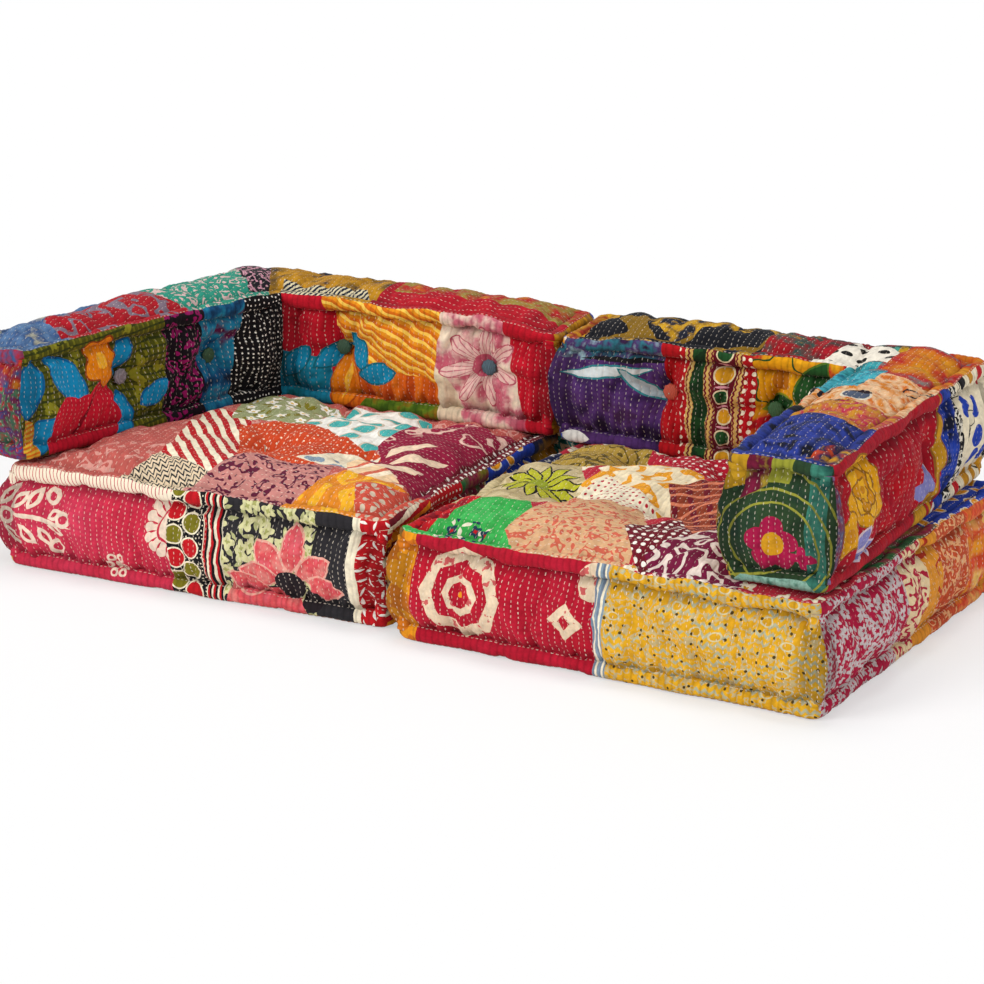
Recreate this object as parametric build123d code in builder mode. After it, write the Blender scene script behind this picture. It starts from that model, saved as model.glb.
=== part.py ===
"""Modular pouf: two floor seat modules that push together into a low sofa.

Each module is a tufted seat cushion with a loose L-shaped bolster on top, which is
its arm and its back. Every cushion is a patchwork cover (top, band and base) over a
cotton filling, with a stitched rolled edge along each outer edge. A module is drawn
with its open end at u = 0 and its arm at u = module_width; the left one is mirrored.
The origin is on the floor, in the middle of the whole footprint. +Y points to the rear.
"""
import os
from dataclasses import dataclass
from math import atan, cos, degrees, radians, sin

from build123d import *

# Seat cushions
module_width = 850.0
module_depth = 870.0
seat_height = 214.0
seat_crown = 42.0
seat_crown_margin = 12.0
seat_crown_slope = 170.0

# Bolsters
bolster_height = 235.0
bolster_crown = 16.0
bolster_crown_margin = 9.0
bolster_crown_slope = 42.0
back_thickness = 200.0
arm_length = 860.0

# Rolled edges and cover
roll_width = 32.0
corner_cut = 12.0
roll_bevel = 9.0
side_pull_in = 3.5
band_inset = 10.0
band_swell = 8.0
band_thickness = 6.0
panel_thickness = 14.0
panel_edge_bevel = 7.0
seam_clearance = 0.25
cushion_clearance = 0.3

# Tufts: knots in the seats, buttons on the bolsters' inner faces, ties on their outer faces
twine_radius = 1.5
twine_clearance = 0.4
seat_tuft_radius = 80.0
seat_tuft_depth = 24.0
base_tuft_radius = 34.0
base_tuft_depth = 8.0
knot_radius = 7.0
knot_height = 5.0
button_tuft_radius = 62.0
button_tuft_depth = 20.0
button_radius = 16.0
button_height = 8.0
tie_tuft_radius = 38.0
tie_tuft_depth = 9.0
tuft_floor_margin = 1.5

# How the two modules stand on the floor
module_gap = 33.0
module_setback = 30.0
left_module_turn = 3.0

# How far a cut runs on past what it cuts
cut_overrun = 60.0

# Shares of the sizes that they follow
seat_tuft_u_shares = (0.25, 0.5)
seat_tuft_v_shares = (0.33, 0.66)
crown_inset_shares = (0.14, 0.45, 1.0)
crown_rise_shares = (0.38, 0.37, 0.25)
arm_tuft_shares = (0.39, 0.74)
tuft_height_share = 0.53
dimple_ease_share = 0.35
button_bevel_share = 0.5

# Sides of the small gathered and bound forms
tuft_folds = 6
button_sides = 10
knot_sides = 8
twine_sides = 6
post_sides = 10


@dataclass
class Module:
    """The sizes and shares in which one module differs from the other."""

    side: str
    arm_splay: float
    arm_front_thickness: float
    arm_rear_thickness: float
    back_length: float
    side_inset: float
    rear_overhang: float
    bolster_turn: float
    back_tuft_shares: tuple


left_module = Module(
    side="left",
    arm_splay=10.0,
    arm_front_thickness=165.0,
    arm_rear_thickness=238.0,
    back_length=830.0,
    side_inset=48.0,
    rear_overhang=3.0,
    bolster_turn=0.5,
    back_tuft_shares=(0.25, 0.77),
)
right_module = Module(
    side="right",
    arm_splay=1.8,
    arm_front_thickness=195.0,
    arm_rear_thickness=245.0,
    back_length=832.0,
    side_inset=50.0,
    rear_overhang=25.0,
    bolster_turn=1.0,
    back_tuft_shares=(0.38, 0.76),
)


def crossing(point_a, along_a, point_b, along_b):
    """Where two lines of the plan cross."""
    gap = point_b - point_a
    turn = along_a.X * along_b.Y - along_a.Y * along_b.X
    reach = (gap.X * along_b.Y - gap.Y * along_b.X) / turn
    return point_a + along_a * reach


def seat_corners():
    """Corners of the seat, counter-clockwise from the front of the open end."""
    return [
        Vector(0, 0),
        Vector(module_width, 0),
        Vector(module_width, module_depth),
        Vector(0, module_depth),
    ]


def bolster_corners(module):
    """Corners of the L: arm front (inner, outer), outer rear, back end (rear, front), inner."""
    turn = radians(module.bolster_turn)
    splay = radians(module.bolster_turn + module.arm_splay)
    along_back = Vector(-cos(turn), -sin(turn))
    across_back = Vector(sin(turn), -cos(turn))
    along_arm = Vector(sin(splay), -cos(splay))
    across_arm = Vector(-cos(splay), -sin(splay))

    outer_rear = Vector(module_width - module.side_inset, module_depth + module.rear_overhang)
    back_rear = outer_rear + along_back * module.back_length
    back_front = back_rear + across_back * back_thickness
    arm_outer = outer_rear + along_arm * arm_length
    arm_inner = arm_outer + across_arm * module.arm_front_thickness
    arm_inner_rear = outer_rear + across_arm * module.arm_rear_thickness
    inner_corner = crossing(back_front, along_back, arm_inner, arm_inner_rear - arm_inner)
    return [arm_inner, arm_outer, outer_rear, back_rear, back_front, inner_corner]


def neighbours(corners):
    """Each corner with the one before it and the one after it."""
    return zip(corners[-1:] + corners[:-1], corners, corners[1:] + corners[:1])


def inset_corners(corners, inset):
    """The same corners after every side has moved inwards by the inset."""
    moved = []
    for before, corner, after in neighbours(corners):
        side_in = (corner - before).normalized()
        side_out = (after - corner).normalized()
        start = corner + side_in.rotate(Axis.Z, 90) * inset
        end = corner + side_out.rotate(Axis.Z, 90) * inset
        moved.append(crossing(start, side_in, end, side_out))
    return moved


def cushion_plan(corners, height, inset):
    """Outline of a cushion at one height, its sides pulled in between its cut corners."""
    points = inset_corners(corners, inset)
    with BuildSketch(Plane.XY.offset(height)) as plan:
        with BuildLine():
            for start, end in zip(points, points[1:] + points[:1]):
                SagittaArc(start, end, side_pull_in)
        make_face()
        chamfer(plan.vertices(), corner_cut)
    return plan.sketch


def rolled_edge(corners, bottom):
    """One roll that runs round the cushion, bevelled along its outer side."""
    with BuildPart() as roll:
        with BuildSketch(Plane.XY.offset(bottom)):
            add(cushion_plan(corners, bottom, 0))
            add(cushion_plan(corners, bottom, roll_width), mode=Mode.SUBTRACT)
        extrude(amount=roll_width)
        outer_edges = roll.faces().sort_by(Axis.Z)[-1].outer_wire().edges()
        outer_edges += roll.faces().sort_by(Axis.Z)[0].outer_wire().edges()
        chamfer(outer_edges, roll_bevel)
    return roll.part


def corner_posts(corners, bottom, height, clearance):
    """Upright posts at the outer corners, between the two rolls that run round."""
    centres = [
        centre
        for centre, (before, corner, after) in zip(
            inset_corners(corners, roll_width / 2), neighbours(corners)
        )
        if (corner - before).cross(after - corner).Z > 0
    ]
    low = bottom + roll_width + seam_clearance - clearance
    with BuildPart() as posts:
        with BuildSketch(Plane.XY.offset(low)):
            with Locations(*centres):
                RegularPolygon(roll_width / 2 + clearance, post_sides)
        extrude(amount=height - 2 * (roll_width + seam_clearance - clearance))
    return posts.part


def swollen_body(corners, bottom, height, sink, dimples):
    """Body of a cushion between its rolls, swollen at mid height and drawn in at its tufts."""
    low = bottom + roll_width + seam_clearance
    middle = bottom + height / 2
    high = bottom + height - roll_width - seam_clearance
    swollen = band_inset - band_swell + sink
    with BuildPart() as body:
        for level, inset in ((low, band_inset + sink), (middle, swollen), (high, band_inset + sink)):
            with BuildSketch(Plane.XY.offset(level)):
                add(cushion_plan(corners, level, inset))
        loft(ruled=True)
        if dimples:
            add(dimples, mode=Mode.SUBTRACT)
    return body.part


def funnel(mouth, radius, depth, floor_radius):
    """Funnel of flat folds that runs into a surface from its mouth."""
    with BuildPart() as space:
        with BuildSketch(mouth.offset(-depth)):
            RegularPolygon(radius, tuft_folds, major_radius=False)
        extrude(amount=depth + cut_overrun)
        floor = space.faces().sort_by(Axis(mouth.origin, mouth.z_dir))[0]
        chamfer(floor.edges(), radius - floor_radius, depth, reference=floor)
    return space.part


def dimple_spaces(mouth, radius, depth, floor_radius):
    """Spaces that a tuft draws out of a surface: a deep funnel inside a wide shallow one."""
    ease_depth = depth * dimple_ease_share
    ease_radius = radius * dimple_ease_share + floor_radius
    return [
        funnel(mouth, radius, ease_depth, floor_radius),
        funnel(mouth, ease_radius, depth, floor_radius),
    ]


def bevelled_disc(back, radius, height, sides):
    """Low button or knot with a bevelled rim, its flat side on a plane."""
    with BuildPart() as disc:
        with BuildSketch(back):
            RegularPolygon(radius, sides)
        extrude(amount=height)
        rim = disc.faces().sort_by(Axis(back.origin, back.z_dir))[-1].edges()
        chamfer(rim, height * button_bevel_share)
    return disc.part


def twine_bar(start, end, radius):
    """Straight length of twine between two points, or the hole for it."""
    with BuildPart() as bar:
        with BuildSketch(Plane(origin=start, z_dir=end - start)):
            RegularPolygon(radius, twine_sides)
        extrude(amount=(end - start).length)
    return bar.part


def crowned_body(corners, floor, spring, rises, insets):
    """Body whose top rises in sloping steps from all its sides, towards a flat middle."""
    with BuildPart() as body:
        with BuildSketch(Plane.XY.offset(floor)):
            Polygon(*corners, align=None)
        extrude(amount=spring - floor)
        height = spring
        inset = 0
        for rise, next_inset in zip(rises, insets):
            with BuildSketch(Plane.XY.offset(height)):
                Polygon(*inset_corners(corners, inset), align=None)
            extrude(amount=rise, taper=degrees(atan((next_inset - inset) / rise)))
            height += rise
            inset = next_inset
    return body.part


def seat_crown_body(module, sink, floor):
    """Crowned middle of the seat, in front of the back and inside the arm."""
    arm_inner, _, _, _, back_front, inner_corner = bolster_corners(module)
    rear = min(back_front.Y, inner_corner.Y)
    arm_side = inner_corner - arm_inner
    arm_front = crossing(arm_inner, arm_side, Vector(0, roll_width), Vector(1, 0))
    arm_rear = crossing(arm_inner, arm_side, Vector(0, rear), Vector(1, 0))
    widest = module_width - roll_width
    corners = [
        Vector(roll_width, roll_width),
        Vector(min(arm_front.X, widest), roll_width),
        Vector(min(arm_rear.X, widest), rear),
        Vector(roll_width, rear),
    ]
    return crowned_body(
        inset_corners(corners, seat_crown_margin + sink),
        floor,
        seat_height - sink,
        [seat_crown * share for share in crown_rise_shares],
        [seat_crown_slope * share for share in crown_inset_shares],
    )


def bolster_crown_body(module, sink, floor, spring):
    """Crown along both legs of a bolster, which meet in a mitre across the corner."""
    corners = inset_corners(bolster_corners(module), roll_width + bolster_crown_margin + sink)
    return crowned_body(
        corners,
        floor,
        spring - sink,
        [bolster_crown * share for share in crown_rise_shares],
        [bolster_crown_slope * share for share in crown_inset_shares],
    )


def seat_tuft_points():
    """Plan points of the seat's tufts, in its open part."""
    return [
        Vector(module_width * u, module_depth * v)
        for u in seat_tuft_u_shares
        for v in seat_tuft_v_shares
    ]


def seat_dimples(sink):
    """Spaces of the tufts in the seat's top, or in what lies a sink below it."""
    spaces = []
    for point in seat_tuft_points():
        mouth = Plane(origin=(point.X, point.Y, seat_height + seat_crown - sink))
        floor_radius = knot_radius + tuft_floor_margin + sink
        spaces += dimple_spaces(mouth, seat_tuft_radius + sink, seat_tuft_depth, floor_radius)
    return spaces


def seat_base_dimples():
    """Spaces of the tufts in the seat's underside."""
    return [
        funnel(
            Plane(origin=(point.X, point.Y, 0), z_dir=(0, 0, -1)),
            base_tuft_radius,
            base_tuft_depth,
            knot_radius + tuft_floor_margin,
        )
        for point in seat_tuft_points()
    ]


def seat_twines(radius):
    """Upright twine of each tuft, or the hole for it."""
    high = seat_height + seat_crown - seat_tuft_depth
    return [
        twine_bar(Vector(point.X, point.Y, base_tuft_depth), Vector(point.X, point.Y, high), radius)
        for point in seat_tuft_points()
    ]


def seat_knots():
    """Knots that hold the twine, in the top's tufts and in the underside's."""
    high = seat_height + seat_crown - seat_tuft_depth
    knots = []
    for point in seat_tuft_points():
        top = Plane(origin=(point.X, point.Y, high + seam_clearance))
        base = Plane(origin=(point.X, point.Y, base_tuft_depth - seam_clearance), z_dir=(0, 0, -1))
        knots.append(bevelled_disc(top, knot_radius, knot_height, knot_sides))
        knots.append(bevelled_disc(base, knot_radius, knot_height, knot_sides))
    return knots


def gathered(pieces):
    """Equal small pieces as one group of separate solids."""
    with BuildPart() as group:
        for piece in pieces:
            add(piece)
    return group.part


def make_seat(module):
    """All the pieces of one seat cushion, by name."""
    corners = seat_corners()
    panel_inset = roll_width + seam_clearance
    panel_low = seat_height - panel_thickness
    hollow_sink = panel_thickness - seam_clearance
    holes = seat_twines(twine_radius + twine_clearance)

    with BuildPart() as hollow:
        add(seat_crown_body(module, hollow_sink, panel_low - cut_overrun))
        add(seat_dimples(hollow_sink), mode=Mode.SUBTRACT)

    with BuildPart() as top_panel:
        add(cushion_plan(corners, panel_low, panel_inset))
        extrude(amount=panel_thickness)
        rim = top_panel.faces().sort_by(Axis.Z)[-1].outer_wire().edges()
        chamfer(rim, panel_edge_bevel)
        add(seat_crown_body(module, 0, panel_low))
        add(seat_dimples(0) + [hollow.part] + holes, mode=Mode.SUBTRACT)

    with BuildPart() as base_panel:
        add(cushion_plan(corners, 0, panel_inset))
        extrude(amount=panel_thickness)
        add(seat_base_dimples() + holes, mode=Mode.SUBTRACT)

    with BuildPart() as border:
        add(swollen_body(corners, 0, seat_height, 0, []))
        add(swollen_body(corners, 0, seat_height, band_thickness, []), mode=Mode.SUBTRACT)
        add(corner_posts(corners, 0, seat_height, seam_clearance), mode=Mode.SUBTRACT)

    with BuildPart() as filling:
        add(swollen_body(corners, 0, seat_height, band_thickness + seam_clearance, []))
        add(corner_posts(corners, 0, seat_height, seam_clearance), mode=Mode.SUBTRACT)
        add(cushion_plan(corners, panel_thickness + seam_clearance, panel_inset))
        extrude(amount=seat_height - 2 * panel_thickness - 2 * seam_clearance)
        add(seat_crown_body(module, panel_thickness, seat_height / 2))
        add(seat_dimples(panel_thickness) + holes, mode=Mode.SUBTRACT)

    return {
        "top_panel": top_panel.part,
        "border": border.part,
        "base_panel": base_panel.part,
        "top_roll": rolled_edge(corners, seat_height - roll_width),
        "base_roll": rolled_edge(corners, 0),
        "corner_rolls": corner_posts(corners, 0, seat_height, 0),
        "filling": filling.part,
        "tuft_twine": gathered(seat_twines(twine_radius)),
        "tuft_knots": gathered(seat_knots()),
    }


def bolster_tufts(module):
    """Each tuft of a bolster: its point on an inner face, and its point on the outer face."""
    inset = band_inset - band_swell + side_pull_in
    arm_inner, arm_outer, outer_rear, back_rear, back_front, inner_corner = inset_corners(
        bolster_corners(module), inset
    )
    height = Vector(0, 0, seat_height + cushion_clearance + bolster_height * tuft_height_share)
    faces = [
        (back_front, inner_corner, back_rear, outer_rear, module.back_tuft_shares),
        (arm_inner, inner_corner, arm_outer, outer_rear, arm_tuft_shares),
    ]
    tufts = []
    for start, end, outer_start, outer_end, shares in faces:
        outer_side = outer_end - outer_start
        for share in shares:
            inner_point = start + (end - start) * share
            outer_point = crossing(outer_start, outer_side, inner_point, outer_side.rotate(Axis.Z, 90))
            tufts.append((inner_point + height, outer_point + height))
    return tufts


def bolster_dimples(module, sink):
    """Spaces of the tufts in the inner and the outer faces, or in what lies a sink behind them."""
    spaces = []
    for inner_point, outer_point in bolster_tufts(module):
        inward = (outer_point - inner_point).normalized()
        inner_mouth = Plane(origin=inner_point + inward * sink, x_dir=(0, 0, 1), z_dir=-inward)
        outer_mouth = Plane(origin=outer_point - inward * sink, x_dir=(0, 0, 1), z_dir=inward)
        floor = tuft_floor_margin + sink
        spaces += dimple_spaces(
            inner_mouth, button_tuft_radius + sink, button_tuft_depth, button_radius + floor
        )
        spaces.append(
            funnel(outer_mouth, tie_tuft_radius + sink, tie_tuft_depth, knot_radius + floor)
        )
    return spaces


def tuft_floors(module):
    """Planes on the floors of each tuft, facing out: the inner one, then the outer one."""
    floors = []
    for inner_point, outer_point in bolster_tufts(module):
        inward = (outer_point - inner_point).normalized()
        inner = Plane(origin=inner_point + inward * button_tuft_depth, x_dir=(0, 0, 1), z_dir=-inward)
        outer = Plane(origin=outer_point - inward * tie_tuft_depth, x_dir=(0, 0, 1), z_dir=inward)
        floors.append((inner, outer))
    return floors


def make_bolster(module):
    """All the pieces of one L-shaped bolster, by name."""
    corners = bolster_corners(module)
    bottom = seat_height + cushion_clearance
    top = bottom + bolster_height
    panel_inset = roll_width + seam_clearance
    panel_low = top - panel_thickness
    floors = tuft_floors(module)
    twine_ends = [(inner.origin, outer.origin) for inner, outer in floors]
    holes = [twine_bar(start, end, twine_radius + twine_clearance) for start, end in twine_ends]

    with BuildPart() as top_panel:
        add(cushion_plan(corners, panel_low, panel_inset))
        extrude(amount=panel_thickness)
        rim = top_panel.faces().sort_by(Axis.Z)[-1].outer_wire().edges()
        chamfer(rim, panel_edge_bevel)
        add(bolster_crown_body(module, 0, panel_low, top))
        hollow_sink = panel_thickness - seam_clearance
        hollow = bolster_crown_body(module, hollow_sink, panel_low - cut_overrun, top)
        add(hollow, mode=Mode.SUBTRACT)

    with BuildPart() as base_panel:
        add(cushion_plan(corners, bottom, panel_inset))
        extrude(amount=panel_thickness)

    with BuildPart() as border:
        add(swollen_body(corners, bottom, bolster_height, 0, bolster_dimples(module, 0)))
        inner_dimples = bolster_dimples(module, band_thickness)
        add(
            swollen_body(corners, bottom, bolster_height, band_thickness, inner_dimples),
            mode=Mode.SUBTRACT,
        )
        posts = corner_posts(corners, bottom, bolster_height, seam_clearance)
        add([posts] + holes, mode=Mode.SUBTRACT)

    with BuildPart() as filling:
        filling_sink = band_thickness + seam_clearance
        filling_dimples = bolster_dimples(module, filling_sink)
        add(swollen_body(corners, bottom, bolster_height, filling_sink, []))
        add(corner_posts(corners, bottom, bolster_height, seam_clearance), mode=Mode.SUBTRACT)
        add(cushion_plan(corners, bottom + panel_thickness + seam_clearance, panel_inset))
        extrude(amount=bolster_height - 2 * panel_thickness - 2 * seam_clearance)
        add(bolster_crown_body(module, panel_thickness, bottom + bolster_height / 2, top))
        add(filling_dimples + holes, mode=Mode.SUBTRACT)

    buttons = []
    ties = []
    for inner, outer in floors:
        button_seat = inner.offset(seam_clearance)
        tie_seat = outer.offset(seam_clearance)
        buttons.append(bevelled_disc(button_seat, button_radius, button_height, button_sides))
        ties.append(bevelled_disc(tie_seat, knot_radius, knot_height, knot_sides))

    return {
        "top_panel": top_panel.part,
        "border": border.part,
        "base_panel": base_panel.part,
        "top_roll": rolled_edge(corners, top - roll_width),
        "base_roll": rolled_edge(corners, bottom),
        "corner_rolls": corner_posts(corners, bottom, bolster_height, 0),
        "filling": filling.part,
        "tuft_twine": gathered([twine_bar(start, end, twine_radius) for start, end in twine_ends]),
        "tuft_buttons": gathered(buttons),
        "tuft_ties": gathered(ties),
    }


def stood(shape, module):
    """A shape of one module, turned and moved to where that module stands on the floor."""
    if module.side == "right":
        return shape
    mirrored = mirror(shape, about=Plane.YZ)
    return Pos(-module_gap, module_setback, 0) * Rot(0, 0, left_module_turn) * mirrored


def footprint_middle():
    """Middle of the box round the outlines of all four cushions."""
    boxes = []
    for module in (left_module, right_module):
        for corners in (seat_corners(), bolster_corners(module)):
            outline = cushion_plan(corners, 0, 0)
            boxes.append(stood(outline, module).bounding_box())
    low = Vector(min(box.min.X for box in boxes), min(box.min.Y for box in boxes))
    high = Vector(max(box.max.X for box in boxes), max(box.max.Y for box in boxes))
    return (low + high) / 2


def write_pieces():
    """Every piece in its own file, named after its module and its cushion."""
    os.makedirs("parts", exist_ok=True)
    middle = footprint_middle()
    for module in (left_module, right_module):
        for cushion, pieces in (("seat", make_seat(module)), ("bolster", make_bolster(module))):
            for name, piece in pieces.items():
                finished = Pos(-middle.X, -middle.Y, 0) * stood(piece, module)
                finished.label = f"{module.side}_{cushion}_{name}"
                export_step(finished, f"parts/{finished.label}.step")


write_pieces()
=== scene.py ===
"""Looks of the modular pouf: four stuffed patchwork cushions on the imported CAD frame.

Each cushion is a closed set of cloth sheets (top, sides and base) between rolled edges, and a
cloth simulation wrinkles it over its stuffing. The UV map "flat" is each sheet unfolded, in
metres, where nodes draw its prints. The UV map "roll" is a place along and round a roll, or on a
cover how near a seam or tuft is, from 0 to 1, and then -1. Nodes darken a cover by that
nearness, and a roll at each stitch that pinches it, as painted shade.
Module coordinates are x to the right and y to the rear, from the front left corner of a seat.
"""
import math

import bpy
import numpy as np
from mathutils import Matrix, Vector, noise


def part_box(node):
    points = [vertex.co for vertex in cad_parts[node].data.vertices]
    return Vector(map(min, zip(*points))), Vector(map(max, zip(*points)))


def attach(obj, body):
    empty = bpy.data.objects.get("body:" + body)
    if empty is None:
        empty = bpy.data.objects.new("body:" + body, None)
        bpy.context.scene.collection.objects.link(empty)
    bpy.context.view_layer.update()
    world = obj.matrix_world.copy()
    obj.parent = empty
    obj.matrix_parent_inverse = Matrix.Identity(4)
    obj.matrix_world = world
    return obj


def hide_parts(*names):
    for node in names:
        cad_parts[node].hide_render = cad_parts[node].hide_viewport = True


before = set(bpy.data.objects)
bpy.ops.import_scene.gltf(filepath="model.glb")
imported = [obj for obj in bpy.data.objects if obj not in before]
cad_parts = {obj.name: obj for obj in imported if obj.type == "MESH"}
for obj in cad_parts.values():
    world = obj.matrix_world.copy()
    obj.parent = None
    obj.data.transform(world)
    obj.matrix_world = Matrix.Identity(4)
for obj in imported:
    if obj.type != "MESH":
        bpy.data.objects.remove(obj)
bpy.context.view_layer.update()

# Sizes, in metres, and the angles and colours of the stitching
module_width = 0.85
seat_crown = 0.025
bolster_crown = 0.013
roll_radius = 0.0165
roll_rounding = 0.012
sheet_inset = 0.024
sheet_drop = 0.012
band_inset = 0.006
band_swell = 0.014
band_margin = 0.020
back_thickness = 0.2
arm_length = 0.86
cell = 0.009
fine_cell = 0.0045
small_part_reach = 0.045
stitch_row_gap = 0.0115
stitch_pitch = 0.0095
stitch_thickness = 0.0007
roll_stitch_pitch = 0.0135
weave_size = 0.0016
roll_segments = 14
upright, lying = math.pi / 2, 0.0
thread_color = "e4d6c4"
winding_color = "e8dcc4"

# Unevenness of the stuffing: the size of its lumps, and how far they stand out
outline_wander, outline_ripple = (0.13, 0.008), (0.045, 0.003)
height_wander, height_ripple = (0.11, 0.008), (0.04, 0.0045)
seat_rumple, seat_ripple = (0.075, 0.008), (0.028, 0.003)
bolster_rumple, bolster_ripple = (0.06, 0.005), (0.025, 0.0016)
side_rumple, side_ripple, side_folds = (0.09, 0.012), (0.032, 0.005), (0.045, 0.009)

# Forms of the cover: reach of the crowns, and depth and reach of its grooves and gathers
seat_crown_reach, seat_crown_start = 0.045, 0.004
bolster_crown_reach = 0.026
bolster_press = 0.035
pressed_rise, pressed_reach = 0.012, 0.014
base_rise, base_reach = 0.0115, 0.012
base_dimple, base_dimple_reach = 0.008, 0.02
mitre_depth, mitre_reach = 0.007, 0.012
band_rounding = 0.007
gather_pitch, gather_depth, gather_reach = 0.034, 0.006, 0.026
groove_depth, groove_reach = 0.007, 0.011
corner_groove_place, corner_groove_reach = 0.036, 0.012
side_fade = 0.05
# Reach of the painted shade by the seams, and reach and strength of the painted shade round the tufts
crease_shade_reach, tuft_shade_reach, tuft_shade_strength = 0.008, 0.030, 0.8

# Hand stitches round a roll: how deep they pinch it, and how unevenly
pinch_depth, pinch_spread, pinch_swell, tied_pinch = 0.07, 0.06, 0.14, 0.22

# Tufts: depth and reach of the hollow, and radius of what holds it
seat_tuft = (0.034, 0.085, 0.004)
button_tuft = (0.040, 0.078, 0.012)
tie_tuft = (0.016, 0.042, 0.004)

# The cloth simulation
settling_frames = 20
settling_reach = 0.015
held_rim = 0.012
held_below = 0.035
held_round_tuft = 0.020
free_margin = 0.045

# The camera of the photograph
camera_place = (2.7561, -4.9019, 1.8010)
camera_yaw = 0.50768
camera_pitch = 0.28372
camera_roll = 0.01272
camera_lens = 109.45
sensor_width = 36.0


# Nodes written as numbers and colours

def rgb(text):
    """Linear colour from a screen colour such as c8102e."""
    parts = [int(text[i:i + 2], 16) / 255 for i in (0, 2, 4)]
    return tuple(p / 12.92 if p <= 0.04045 else ((p + 0.055) / 1.055) ** 2.4 for p in parts) + (1.0,)


class Value:
    """A number worked out by nodes, which adds, multiplies and compares like any other number."""

    def __init__(self, nodes, socket):
        self.nodes = nodes
        self.socket = socket


def add_operator(name, operation, swapped=False):
    def operator(self, other):
        return self.nodes.math(operation, *((other, self) if swapped else (self, other)))
    setattr(Value, f"__{name}__", operator)


for name, operation in (
        ("add", "ADD"), ("radd", "ADD"), ("sub", "SUBTRACT"), ("mul", "MULTIPLY"), ("rmul", "MULTIPLY"),
        ("truediv", "DIVIDE"), ("lt", "LESS_THAN"), ("gt", "GREATER_THAN")):
    add_operator(name, operation)
add_operator("rsub", "SUBTRACT", swapped=True)


class Nodes:
    """A new node tree of a material or a world. Colours may be screen colours."""

    def __init__(self, owner):
        owner.use_nodes = True
        self.owner = owner
        self.tree = owner.node_tree
        self.tree.nodes.clear()

    def node(self, kind, inputs=(), output=0, **settings):
        """One output of a new shader node with those settings and inputs."""
        node = self.tree.nodes.new(f"ShaderNode{kind}")
        for name, value in settings.items():
            setattr(node, name, value)
        for name, value in inputs.items() if isinstance(inputs, dict) else enumerate(inputs):
            if isinstance(value, Value):
                self.tree.links.new(value.socket, node.inputs[name])
            else:
                node.inputs[name].default_value = rgb(value) if isinstance(value, str) else value
        return Value(self, node.outputs[output]) if node.outputs else None

    def other(self, value, output):
        """Another output of the node that gives the value."""
        return Value(self, value.socket.node.outputs[output])

    def pair(self, value, kind="SeparateXYZ"):
        """The first two parts of a vector or a colour."""
        first = self.node(kind, (value,))
        return first, self.other(first, 1)

    def math(self, operation, *values, clamp=False):
        return self.node("Math", values, operation=operation, use_clamp=clamp)

    def mix(self, share, base, over):
        """Colour over laid on colour base where share is 1."""
        return self.node("Mix", {0: share, 6: base, 7: over}, 2, data_type="RGBA")


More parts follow.
